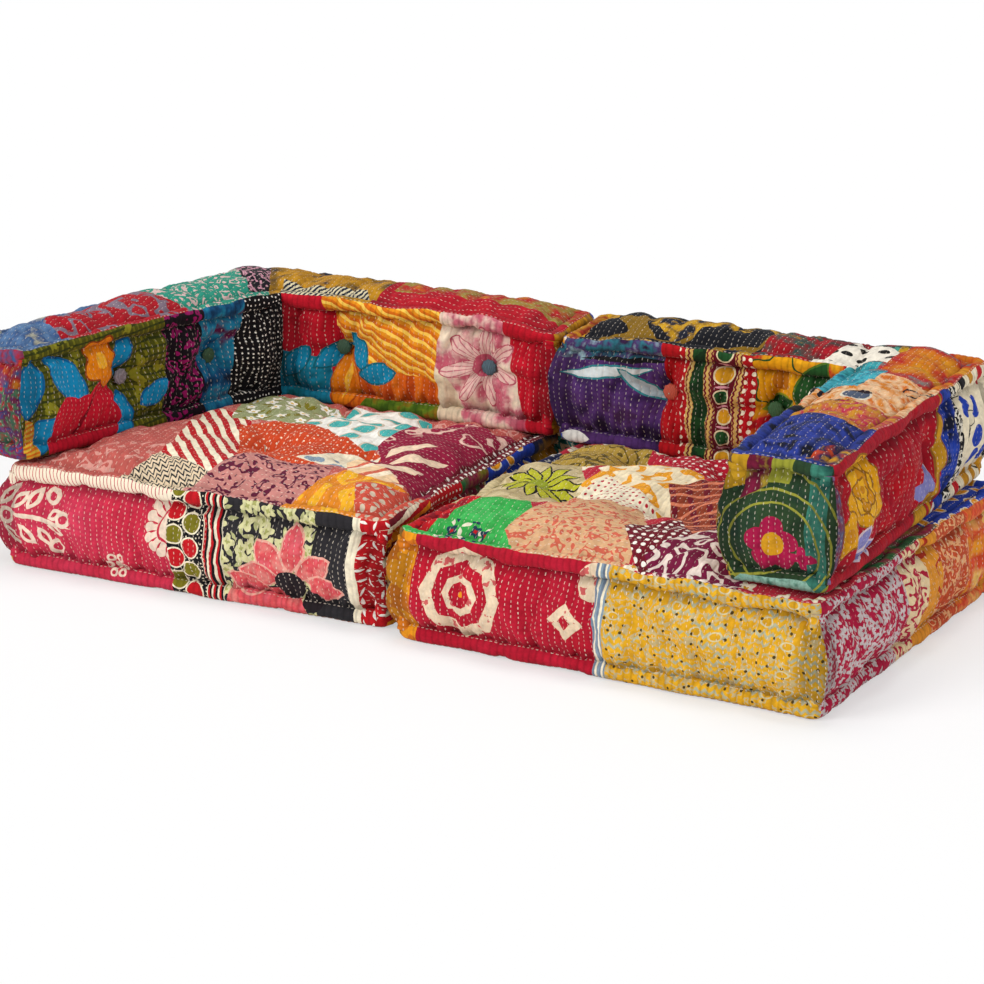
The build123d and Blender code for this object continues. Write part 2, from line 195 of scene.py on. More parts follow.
class Cloth(Nodes):
    """The material of one sheet of cloth, drawn on in metres over the sheet's flat shape."""

    def __init__(self, name):
        super().__init__(bpy.data.materials.new(name))
        self.x, self.y = self.pair(self.node("UVMap", uv_map="flat"))
        self.along, self.around = self.pair(self.node("UVMap", uv_map="roll"))
        self.wander()
        self.sheet = self.vector(self.x, self.y, 1.0)
        self.color = None
        self.stitch_turn = None

    def vector(self, x, y, z=0.0):
        return self.node("CombineXYZ", (x, y, z))

    def noise(self, x, y, size, seed=0.0, detail=1.0):
        """Smooth noise from 0 to 1 with features of about that size in metres."""
        place = self.vector(x, y, seed)
        return self.node("TexNoise", {"Scale": 1 / size, "Detail": detail, "Vector": place})

    def line(self, a, b, c):
        """The value a x + b y + c over the sheet."""
        return self.node("VectorMath", (self.sheet, (a, b, c)), "Value", operation="DOT_PRODUCT")

    def placed(self, x, y, angle=0.0):
        """Distances from a place on the sheet, along an angle and across it."""
        c, s = math.cos(angle), math.sin(angle)
        return self.line(c, s, -x * c - y * s), self.line(-s, c, x * s - y * c)

    def cells(self, size, seed=0.0, spread=1.0):
        """Scattered points: x and y from the nearest one, and two random numbers of its own."""
        place = self.node("VectorMath", (self.sheet, (seed, seed * 0.7, 0.0)), operation="ADD")
        nearest = self.node("TexVoronoi", {"Scale": 1 / size, "Randomness": spread, "Vector": place},
                            "Position", voronoi_dimensions="2D")
        gap = self.node("VectorMath", (place, nearest), operation="SUBTRACT")
        return *self.pair(gap), *self.pair(self.other(nearest, "Color"), "SeparateColor")

    def wander(self):
        """Bends the sheet's flat coordinates a little, as hand-cut and hand-sewn patches are bent."""
        bend = self.node("TexNoise", {"Scale": 14.0, "Detail": 3.0, "Roughness": 0.6,
                                      "Vector": self.vector(self.x, self.y)}, "Color")
        across, up = self.pair(bend, "SeparateColor")
        self.x = self.x + (across - 0.5) * 0.012
        self.y = self.y + (up - 0.5) * 0.012

    def turned(self, x, y, angle):
        """x and y after a turn; the angle is in radians and may be a value."""
        if isinstance(angle, Value):
            c, s = self.math("COSINE", angle), self.math("SINE", angle)
        else:
            c, s = math.cos(angle), math.sin(angle)
        return x * c + y * s, y * c - x * s

    def reach(self, x, y):
        return self.node("VectorMath", (self.vector(x, y),), "Value", operation="LENGTH")

    def bearing(self, x, y):
        return self.math("ARCTAN2", y, x)

    def size(self, value):
        return self.math("ABSOLUTE", value)

    def wave(self, value):
        return self.math("SINE", value)

    def fraction(self, value):
        return self.math("FRACT", value)

    # Prints: each returns the colour of a whole sheet of that cloth

    def blooms(self, size, ground, petal, heart, seed=0.0, petals=5, fill=0.42, leaf=None):
        """Scattered round flowers, with pairs of leaves between them."""
        color = ground
        if leaf:
            x, y, chance, _ = self.cells(size * 0.8, seed + 3.1, 0.9)
            along, across = self.turned(x, y, chance * 6.28)
            color = self.mix(self.lens(along, across, size * 0.34, size * 0.13), color, leaf)
        x, y, chance, other = self.cells(size, seed, 0.7)
        bearing = self.bearing(x, y) + chance * 6.28
        edge = (self.wave(bearing * petals) * 0.22 + 0.78) * (other * 0.3 + 0.8) * (size * fill)
        reach = self.reach(x, y)
        color = self.mix(reach < edge, color, petal)
        return self.mix(reach < edge * 0.34, color, heart)

    def lens(self, along, across, half_length, half_width):
        """1 inside a leaf shape that is pointed at both ends."""
        edge = self.math("MULTIPLY_ADD", along * along, -half_width / half_length**2, half_width)
        return self.size(across) < edge

    def leaves(self, size, ground, fill, line=None, seed=0.0, width=0.2, spread=0.8):
        """Scattered leaves, each with a line round it if that is given."""
        x, y, chance, _ = self.cells(size, seed, spread)
        along, across = self.turned(x, y, chance * 6.28)
        color = ground
        if line:
            color = self.mix(self.lens(along, across, size * 0.5, size * (width + 0.07)), color, line)
        return self.mix(self.lens(along, across, size * 0.42, size * width), color, fill)

    def ovals(self, size, ground, fill, line, seed=0.0, spread=0.35, squeeze=0.7):
        """Rows of outlined ovals."""
        x, y, chance, _ = self.cells(size, seed, spread)
        x, y = self.turned(x, y, chance * 1.2)
        reach = self.reach(x, y / squeeze)
        color = self.mix(reach < size * 0.44, ground, line)
        return self.mix(reach < size * 0.36, color, fill)

    def dots(self, size, ground, dot, radius=0.2, seed=0.0, spread=0.0):
        """Dots in rows, or scattered where spread is more."""
        x, y, _, _ = self.cells(size, seed, spread)
        return self.mix(self.reach(x, y) < size * radius, ground, dot)

    def stripes(self, period, angle, colors, bend=0.0):
        """Equal stripes in several colours, bent by noise."""
        _, across = self.placed(0.0, 0.0, angle)
        if bend:
            across = across + (self.noise(self.x, self.y, period * 3, 4.0) - 0.5) * bend
        share = self.fraction(across / period)
        color = colors[0]
        for number, over in enumerate(colors[1:], 1):
            color = self.mix(share > number / len(colors), color, over)
        return color

    def scroll(self, size, ground, line, width=0.22, seed=0.0, turns=4.0):
        """Lines that wind over the cloth like the grain of a worm-eaten board."""
        level = self.fraction(self.noise(self.x, self.y, size, seed) * turns)
        return self.mix(level < width, ground, line)

    def blots(self, size, ground, blot, seed=0.0, share=0.5, detail=2.0):
        """Soft-edged patches of a second colour."""
        level = self.noise(self.x, self.y, size, seed, detail)
        return self.mix(level > share, ground, blot)

    def painted(self, size, colors, seed=0.0, detail=5.0):
        """Several colours that run into each other, as on a hand-painted print."""
        level = self.noise(self.x, self.y, size, seed, detail)
        color = self.node("ValToRGB", (level,))
        stops = color.socket.node.color_ramp.elements
        while len(stops) < len(colors):
            stops.new(0.5)
        for number, (stop, shade) in enumerate(zip(stops, colors)):
            stop.position = 0.34 + 0.32 * number / (len(colors) - 1)
            stop.color = rgb(shade)
        return color

    def checks(self, period, angle, ground, first, second):
        """A woven check."""
        x, y = self.placed(0.0, 0.0, angle)
        color = self.mix(self.fraction(x / period) < 0.35, ground, first)
        return self.mix(self.fraction(y / period) < 0.3, color, second)

    def zigzag(self, period, angle, ground, line, depth=0.5):
        """Rows of zigzag lines."""
        x, y = self.placed(0.0, 0.0, angle)
        tooth = self.size(self.fraction(x / period) - 0.5) * period * depth * 2
        return self.mix(self.fraction((y + tooth) / period) < 0.4, ground, line)

    # Single figures, at a place on the sheet

    def disc(self, x, y, radius, color, squeeze=1.0, angle=0.0):
        across, up = self.placed(x, y, angle)
        self.lay(self.reach(across, up / squeeze) < radius, color)

    def ring_at(self, x, y, radius, width, color, sides=0):
        """A round ring, or one with straight sides."""
        across, up = self.placed(x, y)
        reach = self.reach(across, up)
        if sides:
            turn = 2 * math.pi / sides
            bearing = self.math("MODULO", self.bearing(across, up) + 2 * math.pi, turn) - turn / 2
            reach = reach * self.math("COSINE", bearing)
        self.lay(self.size(reach - radius) < width / 2, color)

    def flower(self, x, y, radius, petal, heart, petals=5, line=None, lobe=0.2, turn=0.0):
        """One large flower."""
        across, up = self.placed(x, y)
        bearing = self.bearing(across, up) + turn
        edge = (self.wave(bearing * petals) * lobe + (1 - lobe)) * radius
        reach = self.reach(across, up)
        if line:
            self.lay(reach < edge + 0.004, line)
        self.lay(reach < edge, petal)
        self.lay(reach < radius * 0.32, heart)

    def leaf(self, x, y, half_length, half_width, angle, color, line=None):
        along, across = self.placed(x, y, angle)
        if line:
            self.lay(self.lens(along, across, half_length + 0.006, half_width + 0.004), line)
        self.lay(self.lens(along, across, half_length, half_width), color)

    # Laying cloths and thread on the sheet

    def lay(self, share, color, rows=None):
        """Lays a colour where share is 1, with its running stitches turned to the angle of rows."""
        self.color = self.mix(share, self.color, color)
        if rows is None:
            return
        turn = rows - upright
        self.stitch_turn = share * turn if self.stitch_turn is None else self.math(
            "MULTIPLY_ADD", share, turn - self.stitch_turn, self.stitch_turn)

    def patch(self, corners, color, rows=None):
        """A patch of cloth inside a convex outline: x, y, x, y and so on in cm, counter-clockwise."""
        inside = None
        places = [(x / 100, y / 100) for x, y in zip(corners[::2], corners[1::2])]
        for (ax, ay), (bx, by) in zip(places, places[1:] + places[:1]):
            side = self.line(ay - by, bx - ax, ax * (by - ay) - ay * (bx - ax))
            inside = side if inside is None else self.math("MINIMUM", inside, side)
        self.lay(inside > 0.0, color, rows)

    def strip(self, start, end, color, rows=None):
        """A patch from one place along the sheet to another, over its whole height."""
        self.lay((self.x > start) * (self.x < end), color, rows)

    def finish(self, strength=0.6, whipped=None):
        """Adds the quilting thread, the roll's stitches, painted shade at the stitches that pinch a
        roll and in the creases by seams and tufts, and the cloth's surface.

        Strength is how much of the thread shows. Between the two places of whipped, the roll
        at the top of the sheet is wound with thick thread.
        """
        turn = upright if self.stitch_turn is None else self.stitch_turn + upright
        along, across = self.turned(self.x, self.y, turn)
        across = across + (self.noise(self.x, self.y, 0.03, 2.0) - 0.5) * 0.004
        row = across / stitch_row_gap
        off_row = self.size(self.fraction(row) - 0.5) * stitch_row_gap
        shift = self.fraction(self.math("FLOOR", row) * 0.618) * 3.0
        dash = self.fraction(along / stitch_pitch + shift)
        flat = self.around < -0.5
        rolled = self.around > -0.5
        quilted = (off_row < stitch_thickness) * (dash < 0.45) * flat
        around = self.size(self.fraction(self.around * 3) - 0.5)
        whip = (self.fraction(self.along / stitch_pitch) < 0.5) * (around < 0.035)
        sewn = self.math("MAXIMUM", quilted, whip * rolled)
        fade = self.noise(self.x, self.y, 0.02, 7.0, 2.0)
        kept = self.math("MULTIPLY_ADD", fade, 1.5, strength - 0.75)
        worn = self.math("MULTIPLY", sewn, kept, clamp=True)
        tone = self.noise(self.x, self.y, 0.011, 5.0, 3.0)
        shade = self.math("MULTIPLY_ADD", tone, 0.8, 0.57)
        # Painted shade: a roll darkens at each stitch that pinches it, and a cover near its seams and
        # tufts
        pinch = self.math("COSINE", self.along * (2 * math.pi / roll_stitch_pitch))
        pinch = self.math("POWER", self.math("MULTIPLY_ADD", pinch, 0.5, 0.5), 4.0) * fade
        crease = self.math("MULTIPLY_ADD", flat, self.along - pinch, pinch)
        shade = shade * self.math("MULTIPLY_ADD", crease, -0.45, 1.0)
        tinted = self.node("VectorMath", {0: self.color, "Scale": shade}, operation="SCALE")
        color = self.mix(worn, tinted, thread_color)
        if whipped:
            low, high = whipped
            wound = (self.fraction(self.x / 0.008 + self.around * 2) < 0.8) * (
                (self.x > low) * (self.x < high)) * ((self.y > 0.17) * rolled)
            color = self.mix(wound, color, winding_color)

        groove = self.math("SUBTRACT", 1.0, self.math(
            "MINIMUM", off_row / (stitch_row_gap * 0.3), 1.0)) * flat
        threads = 2 * math.pi / weave_size
        weave = self.wave(self.x * threads) * self.wave(self.y * threads)
        crumple = self.noise(self.x, self.y, 0.006, 8.0, 3.0)
        height = crumple * 0.0014 + weave * 0.00006 + sewn * 0.0004 - groove * 0.0011
        bump = self.node("Bump", {"Distance": 1.0, "Strength": 0.8, "Height": height})
        surface = self.node("BsdfPrincipled", {
            "Roughness": 0.9, "Specular IOR Level": 0.12, "Sheen Weight": 0.03,
            "Sheen Roughness": 0.5, "Base Color": color, "Normal": bump})
        self.node("OutputMaterial", (surface,))
        return self.owner


# Plan of the cushions

def crossing(a, along_a, b, along_b):
    """Where two lines of the plan cross."""
    turn = along_a[0] * along_b[1] - along_a[1] * along_b[0]
    gap = b - a
    return a + along_a * (gap[0] * along_b[1] - gap[1] * along_b[0]) / turn


def unit(v):
    return v / np.linalg.norm(v)


def left_of(v):
    """The direction a quarter turn to the left."""
    return np.array((-v[1], v[0]))


def inset_corners(corners, inset):
    """The same corners after every side has moved inwards by the inset."""
    moved = []
    for before, corner, after in zip(np.roll(corners, 1, 0), corners, np.roll(corners, -1, 0)):
        side_in, side_out = unit(corner - before), unit(after - corner)
        start_point = corner + left_of(side_in) * inset
        end_point = corner + left_of(side_out) * inset
        moved.append(crossing(start_point, side_in, end_point, side_out))
    return np.array(moved)


# Modules and their cushions

class Module:
    """One of the two modules: where it stands, and the plans of its seat and its bolster."""

    def __init__(self, side, turn, **sizes):
        low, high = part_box(f"{side}_seat_top_roll")
        self.side = side
        self.turn = math.radians(turn)
        self.depth = (high[1] - low[1] - module_width * math.sin(self.turn)) / math.cos(self.turn)
        self.corner = np.array((low[0] + self.depth * math.sin(self.turn), low[1]))
        self.bolster_inner, self.bolster_outer = self.bolster_plan(**sizes)

    def bolster_plan(self, arm_splay, arm_front, arm_rear, back_length, inset, overhang, bolster_turn):
        """The L as its inner line and its outer line, drawn with the arm at the right."""
        turn = math.radians(bolster_turn)
        splay = turn + math.radians(arm_splay)
        along_back = np.array((-math.cos(turn), -math.sin(turn)))
        along_arm = np.array((math.sin(splay), -math.cos(splay)))
        across_arm = np.array((-math.cos(splay), -math.sin(splay)))
        outer_rear = np.array((module_width - inset, self.depth + overhang))
        back_rear = outer_rear + along_back * back_length
        back_front = back_rear + left_of(along_back) * back_thickness
        arm_outer = outer_rear + along_arm * arm_length
        arm_inner = arm_outer + across_arm * arm_front
        arm_inner_rear = outer_rear + across_arm * arm_rear
        inner_corner = crossing(back_front, along_back, arm_inner, arm_inner_rear - arm_inner)
        inner = np.array((arm_inner, inner_corner, back_front))
        outer = np.array((arm_outer, outer_rear, back_rear))
        if self.side == "right":
            return inner, outer
        mirror = np.array((-1, 1))
        shift = np.array((module_width, 0))
        return (inner * mirror + shift)[::-1], (outer * mirror + shift)[::-1]

    def place(self, points):
        """Points of the module in the row frame."""
        c, s = math.cos(self.turn), math.sin(self.turn)
        x, y, z = points[..., 0], points[..., 1], points[..., 2]
        return np.stack((x * c - y * s + self.corner[0], x * s + y * c + self.corner[1], z), -1)

    def local(self, point):
        """A point of the row frame in the module's own coordinates."""
        c, s = math.cos(self.turn), math.sin(self.turn)
        x, y = point[0] - self.corner[0], point[1] - self.corner[1]
        return np.array((x * c + y * s, y * c - x * s, point[2]))


def small_parts(node):
    """Centres of the separate small solids of a CAD node."""
    groups = []
    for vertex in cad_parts[node].data.vertices:
        point = np.array(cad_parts[node].matrix_world @ vertex.co)
        for group in groups:
            if np.linalg.norm(group[0] - point) < small_part_reach:
                group.append(point)
                break
        else:
            groups.append([point])
    return [np.mean(group, 0) for group in groups]


def wobble(points, size, seed):
    """Smooth noise from -1 to 1 at each point, which may be a point of the plan."""
    if points.shape[-1] == 2:
        points = np.dstack((points, points[..., 0] * 0))
    flat = points.reshape(-1, 3) / size + seed
    return np.array([noise.noise(Vector(p)) for p in flat]).reshape(points.shape[:-1])


def lumps(points, unevenness, seed):
    """How far lumps of a size and a height stand out at each point."""
    size, height = unevenness
    return wobble(points, size, seed) * height


class Cushion:
    """One stuffed cushion: its plan as an inner and an outer line, and its bottom and top.

    Side tufts come with what they are; droops are a place, how far it drops, and its reach.
    """

    def __init__(self, module, kind, inner, outer, bottom, top,
                 top_tufts=(), base_tufts=(), side_tufts=(), droops=()):
        self.module = module
        self.kind = kind
        self.name = f"{module.side}_{kind}"
        self.seed = (2.0 if kind == "seat" else 6.0) + (0 if module.side == "left" else 3.5)
        self.inner, self.outer = inner, outer
        self.bottom, self.top = bottom, top
        self.top_tufts, self.base_tufts, self.side_tufts = top_tufts, base_tufts, side_tufts
        self.droops = droops
        self.corners = np.concatenate((inner[:1], outer, inner[:0:-1]))
        self.count = len(self.corners)
        steps = np.roll(self.corners, -1, 0) - self.corners
        self.lengths = [np.linalg.norm(step) for step in steps]
        self.alongs = [unit(step) for step in steps]
        self.outs = [-left_of(along) for along in self.alongs]
        legs = [np.linalg.norm(b - a) for a, b in zip(outer[:-1], outer[1:])]
        self.leg_cells = [max(4, round(length / cell)) for length in legs]
        self.cross_cells = max(6, round(np.linalg.norm(outer[0] - inner[0]) / cell))

    def all_tufts(self):
        return list(self.top_tufts) + [point for point, _ in self.side_tufts]

    def along(self, k, points):
        """How far along a side points of the module are."""
        return (points[..., :2] - self.corners[k]) @ self.alongs[k]

    def nearest_side(self, point):
        """The side whose line passes nearest to a point of the module."""
        gaps = []
        for k in range(self.count):
            along = self.along(k, point)
            beyond = max(0, along - self.lengths[k], -along)
            gaps.append(abs((point[:2] - self.corners[k]) @ self.outs[k]) + beyond)
        return int(np.argmin(gaps))

    def tufts_of(self, k):
        """Tufts of one side: how far along, how high, and what they are."""
        return [(self.along(k, point), point[2], kind)
                for point, kind in self.side_tufts if self.nearest_side(point) == k]

    def tuft_out(self, point):
        """The way out of the cushion at a tuft's point of the row frame."""
        if self.kind == "seat":
            return Vector((0, 0, 1)) if point[2] > 0.1 else Vector((0, 0, -1))
        out = self.outs[self.nearest_side(self.module.local(point))]
        return self.module.place(np.array((*out, 0.0))) - self.module.place(np.zeros(3))

    def convex(self, k):
        before = self.corners[k] - self.corners[k - 1]
        after = self.corners[(k + 1) % self.count] - self.corners[k]
        return before[0] * after[1] - before[1] * after[0] > 0

    def off_rolls(self, height):
        """How far a height is from the nearer roll, below 0 on it."""
        return np.minimum(height - self.bottom, self.top - height) - roll_radius * 2

    def plan_grid(self, inset):
        """Plan points of the grid that covers the cushion, from its inset outline."""
        corners = inset_corners(self.corners, inset)
        legs = len(self.leg_cells)
        outer = corners[1:legs + 2]
        inner = np.concatenate((corners[:1], corners[:legs + 1:-1]))
        rows = []
        for leg, cells in enumerate(self.leg_cells):
            steps = np.linspace(0, 1, cells + 1)[(1 if leg else 0):]
            for step in steps:
                a = inner[leg] * (1 - step) + inner[leg + 1] * step
                b = outer[leg] * (1 - step) + outer[leg + 1] * step
                share = np.linspace(0, 1, self.cross_cells + 1)[:, None]
                rows.append(a * (1 - share) + b * share)
        return np.array(rows)

    def ring(self):
        """Grid places round the rim, each with its side and how far along that side it is."""
        last_row, last_column = sum(self.leg_cells), self.cross_cells
        breaks = np.concatenate(([0], np.cumsum(self.leg_cells)))
        places = [((0, j), 0, j / last_column) for j in range(last_column)]
        for leg, cells in enumerate(self.leg_cells):
            for i in range(cells):
                places.append(((breaks[leg] + i, last_column), 1 + leg, i / cells))
        end_side = 1 + len(self.leg_cells)
        for j in range(last_column):
            places.append(((last_row, last_column - j), end_side, j / last_column))
        for back, leg in enumerate(range(len(self.leg_cells))[::-1]):
            cells = self.leg_cells[leg]
            for i in range(cells):
                places.append(((breaks[leg + 1] - i, 0), end_side + 1 + back, i / cells))
        return places

    def rim_distance(self, plan, inset):
        """How far each plan point is from the inset outline."""
        corners = inset_corners(self.corners, inset)
        nearest = np.full(plan.shape[:-1], 9.0)
        for a, b in zip(corners, np.roll(corners, -1, 0)):
            along = b - a
            share = np.clip(((plan - a) @ along) / (along @ along), 0, 1)
            gap = plan - (a + share[..., None] * along)
            nearest = np.minimum(nearest, np.linalg.norm(gap, axis=-1))
        return nearest


def soften(points, cushion):
    """Lets a cushion's outline wander and its loose corners droop, and keeps it above its base."""
    height = cushion.top - cushion.bottom
    lift = np.clip((points[..., 2] - cushion.bottom) / height, 0, 1)
    seed = 3.0 if cushion.name.startswith("left") else 11.0
    moved = points.copy()
    for axis, offset in ((0, 0.0), (1, 20.0)):
        wander = lumps(points * np.array((1, 1, 1.6)), outline_wander, seed + offset)
        ripple = lumps(points, outline_ripple, seed + offset + 5)
        moved[..., axis] += wander * (0.3 + lift) + ripple
    wander = lumps(points, height_wander, seed + 40)
    ripple = lumps(points, height_ripple, seed + 45)
    moved[..., 2] += (wander + ripple) * lift
    for place, drop, reach in cushion.droops:
        gap = np.linalg.norm(points[..., :2] - np.array(place), axis=-1)
        moved[..., 2] -= drop * lift * np.exp(-(gap / reach) ** 2)
    return moved


def tuft_pull(across, up, tuft, seed):
    """How far a tuft draws a surface in beside it, with folds that run into it."""
    depth, reach, radius = tuft
    distance = np.maximum(np.hypot(across, up) - radius, 0)
    bearing = np.arctan2(up, across)
    core = depth * np.exp(-(distance / (reach * 0.42)) ** 1.5)
    bowl = depth * 0.45 * np.exp(-(distance / reach) ** 2)
    fold_share = (distance / reach) * np.exp(-(distance / reach) ** 2 * 1.3)
    folds = depth * 0.34 * fold_share * np.cos(bearing * 6 + seed * 1.7 + np.sin(bearing * 2 + seed))
    return core + bowl + folds


def crown_profile(distance, rise, reach):
    """Height of a stuffed sheet above its rim at a distance from it."""
    return rise * (1 - np.exp(-np.maximum(distance, 0) / reach))


def before_bolster(cushion, plan):
    """How far seat points lie in front of each inner face of the bolster, below 0 under it."""
    centre = np.mean([tuft[:2] for tuft in cushion.top_tufts], 0)
    gaps = []
    inner = cushion.module.bolster_inner
    for a, b in zip(inner[:-1], inner[1:]):
        across = left_of(unit(b - a))
        if (centre - a) @ across < 0:
            across = -across
        gaps.append((plan - a) @ across)
    return gaps


def seat_top(cushion, plan):
    """Height of a seat's top: low under the bolster, crowned and tufted in front of it."""
    distance = cushion.rim_distance(plan, sheet_inset)
    pressed = crown_profile(distance, pressed_rise, pressed_reach)
    crown = crown_profile(distance - seat_crown_start, seat_crown, seat_crown_reach)
    free = np.ones(plan.shape[:-1])
    for gap in before_bolster(cushion, plan):
        free *= 1 - np.exp(-np.maximum(gap, 0) / bolster_press)
    height = cushion.top - sheet_drop + pressed + free * crown
    for number, tuft in enumerate(cushion.top_tufts):
        across, up = plan[..., 0] - tuft[0], plan[..., 1] - tuft[1]
        height -= tuft_pull(across, up, seat_tuft, number + cushion.seed)
    rumple = lumps(plan * np.array((1, 1.6)), seat_rumple, cushion.seed)
    ripple = lumps(plan * np.array((1.5, 1)), seat_ripple, cushion.seed + 9)
    return height + free * (rumple + ripple)


def bolster_top(cushion, plan):
    """Height of a bolster's top, with a dip along the mitred seam at its corner."""
    distance = cushion.rim_distance(plan, sheet_inset)
    crown = crown_profile(distance, sheet_drop + bolster_crown, bolster_crown_reach)
    height = cushion.top - sheet_drop + crown
    seam_start, seam_end = cushion.inner[1], cushion.outer[1]
    off_seam = (plan - seam_start) @ left_of(unit(seam_end - seam_start))
    height -= mitre_depth * np.exp(-(off_seam / mitre_reach) ** 2) * np.clip(distance / 0.02, 0, 1)
    rumple = lumps(plan, bolster_rumple, cushion.seed + 2)
    ripple = lumps(plan, bolster_ripple, cushion.seed + 7)
    return height + (rumple + ripple) * np.clip(distance / 0.03, 0, 1)


def base_height(cushion, plan):
    """Height of a cushion's underside, flat where it rests."""
    distance = cushion.rim_distance(plan, sheet_inset)
    return cushion.bottom + sheet_drop - crown_profile(distance, base_rise, base_reach)


def side_rows(cushion):
    """Heights of the rows of a side, and how far inside the outline each row lies."""
    low, high = cushion.bottom + band_margin, cushion.top - band_margin
    count = round((high - low) / cell)
    share = np.linspace(1, 0, count + 1)
    inset = band_inset + band_rounding - (band_rounding + band_swell) * np.sin(np.pi * share) ** 0.6
    return low + (high - low) * share, inset


def side_relief(cushion, k, along, height):
    """How far a side stands out from its plain swollen form: tufts, gathers and lumps."""
    length = cushion.lengths[k]
    fade = np.clip(np.minimum(along, length - along) / side_fade, 0, 1)
    fade = fade * fade * (3 - 2 * fade)
    out = np.zeros(along.shape)
    for number, (place, tuft_height, kind) in enumerate(cushion.tufts_of(k)):
        out -= tuft_pull(along - place, height - tuft_height, kind, number + k + cushion.seed)
    edge = np.maximum(cushion.off_rolls(height), 0)
    grid = np.dstack((along, height, along * 0 + k * 0.9))
    slow = wobble(grid, side_rumple[0], cushion.seed + 13)
    ripple = lumps(grid * np.array((1.5, 0.8, 1)), side_ripple, cushion.seed + 17)
    folds = lumps(grid * np.array((1, 0.22, 1)), side_folds, cushion.seed + 23)
    gather = np.sin(along / gather_pitch * 2 * np.pi + slow * 5 + k) * np.exp(-edge / gather_reach)
    groove = np.exp(-(edge / groove_reach) ** 2)
    off_corner = np.minimum(along, length - along) - corner_groove_place
    beside_post = np.exp(-(off_corner / corner_groove_reach) ** 2)
    uneven = slow * side_rumple[1] + ripple + folds + gather * gather_depth
    return (out + uneven - groove * groove_depth) * fade - beside_post * groove_depth


def build_body(cushion, cloths):
    """One closed mesh for a cushion's top, sides and base, with a cloth for each sheet."""
    grid = cushion.plan_grid(sheet_inset)
    rows, columns = grid.shape[:2]
    top = np.dstack((grid, (seat_top if cushion.kind == "seat" else bolster_top)(cushion, grid)))
    base = np.dstack((grid, base_height(cushion, grid)))
    for tuft in cushion.base_tufts:
        gap = np.hypot(grid[..., 0] - tuft[0], grid[..., 1] - tuft[1])
        base[..., 2] += base_dimple * np.exp(-(gap / base_dimple_reach) ** 2)

    ring = cushion.ring()
    levels, insets = side_rows(cushion)
    sides = np.array([k for _, k, _ in ring])
    shares = np.array([share for _, _, share in ring])
    bands = []
    for level, inset in zip(levels, insets):
        corners = inset_corners(cushion.corners, inset)
        starts = corners[sides]
        ends = corners[(sides + 1) % cushion.count]
        plan = starts + (ends - starts) * shares[:, None]
        bands.append(np.column_stack((plan, np.full(len(plan), level))))
    bands = np.array(bands)
    for k in range(cushion.count):
        at = sides == k
        along = cushion.along(k, bands[:, at])
        relief = side_relief(cushion, k, along, bands[:, at, 2])
        bands[:, at, :2] += relief[..., None] * cushion.outs[k]

    points = [top.reshape(-1, 3), base.reshape(-1, 3), bands.reshape(-1, 3)]
    base_start = rows * columns
    band_start = 2 * rows * columns
    around = len(ring)

    faces, sheets = [], []
    for i in range(rows - 1):
        for j in range(columns - 1):
            corner = i * columns + j
            up = (corner, corner + 1, corner + columns + 1, corner + columns)
            faces += [up, tuple(base_start + v for v in up[::-1])]
            sheets += [cushion.count, cushion.count + 1]
    rim = [i * columns + j for (i, j), _, _ in ring]
    lines = [rim]
    lines += [[band_start + row * around + n for n in range(around)] for row in range(len(levels))]
    lines += [[base_start + v for v in rim]]
    for upper, lower in zip(lines, lines[1:]):
        for n in range(around):
            following = (n + 1) % around
            faces.append((lower[n], lower[following], upper[following], upper[n]))
            sheets.append(int(sides[n]))
    points = soften(np.concatenate(points), cushion)
    return make_mesh(cushion, f"{cushion.name}_cover", points, faces, sheets, cloths)


def crease(cushion, places, sheets):
    """How near places of a cover lie to its seams and tufts: 1 at them, 0 away from them. The cloth is
    darkened by this as painted shade in the creases there.
    """
    edge = cushion.off_rolls(places[:, 2])
    flat = sheets >= cushion.count
    edge[flat] = cushion.rim_distance(places[flat, :2], sheet_inset)
    for k in range(cushion.count):
        at = sheets == k
        along = cushion.along(k, places[at])
        edge[at] = np.minimum(edge[at], np.minimum(along, cushion.lengths[k] - along) - roll_radius * 2)
    near = np.exp(-(np.maximum(edge, 0) / crease_shade_reach) ** 2)
    for tuft in cushion.all_tufts():
        gap = np.linalg.norm(places - tuft, axis=1)
        near = np.maximum(near, tuft_shade_strength * np.exp(-(gap / tuft_shade_reach) ** 2))
    return near


def add_object(name, data):
    obj = bpy.data.objects.new(name, data)
    bpy.context.collection.objects.link(obj)
    return obj


def make_mesh(cushion, name, points, faces, sheets, cloths, rolls=None):
    """A mesh in the row frame with its faces' cloths, flat places and roll places."""
    mesh = bpy.data.meshes.new(name)
    mesh.from_pydata(cushion.module.place(points).tolist(), [], faces)
    used, slots = np.unique(sheets, return_inverse=True)
    for sheet in used:
        mesh.materials.append(cloths[sheet])
    mesh.polygons.foreach_set("material_index", slots.astype(np.int32))
    mesh.polygons.foreach_set("use_smooth", np.ones(len(faces), bool))
    places = points[np.array(faces).ravel()]
    loop_sheets = np.repeat(sheets, 4)
    flat_places = places[:, :2].copy()
    for k in range(cushion.count):
        at = loop_sheets == k
        flat_places[at, 0] = cushion.along(k, places[at])
        flat_places[at, 1] = places[at, 2] - cushion.bottom
    if rolls is None:
        # On a cover the roll map holds how near each place is to a seam or tuft, for painted shade in
        # the creases
        near = crease(cushion, places, loop_sheets)
        roll_places = np.column_stack((near, np.full(len(near), -1.0)))
    else:
        roll_places = np.array(rolls).reshape(-1, 2)
    mesh.uv_layers.new(name="flat").data.foreach_set("uv", flat_places.ravel())
    mesh.uv_layers.new(name="roll").data.foreach_set("uv", roll_places.ravel())
    return add_object(name, mesh)


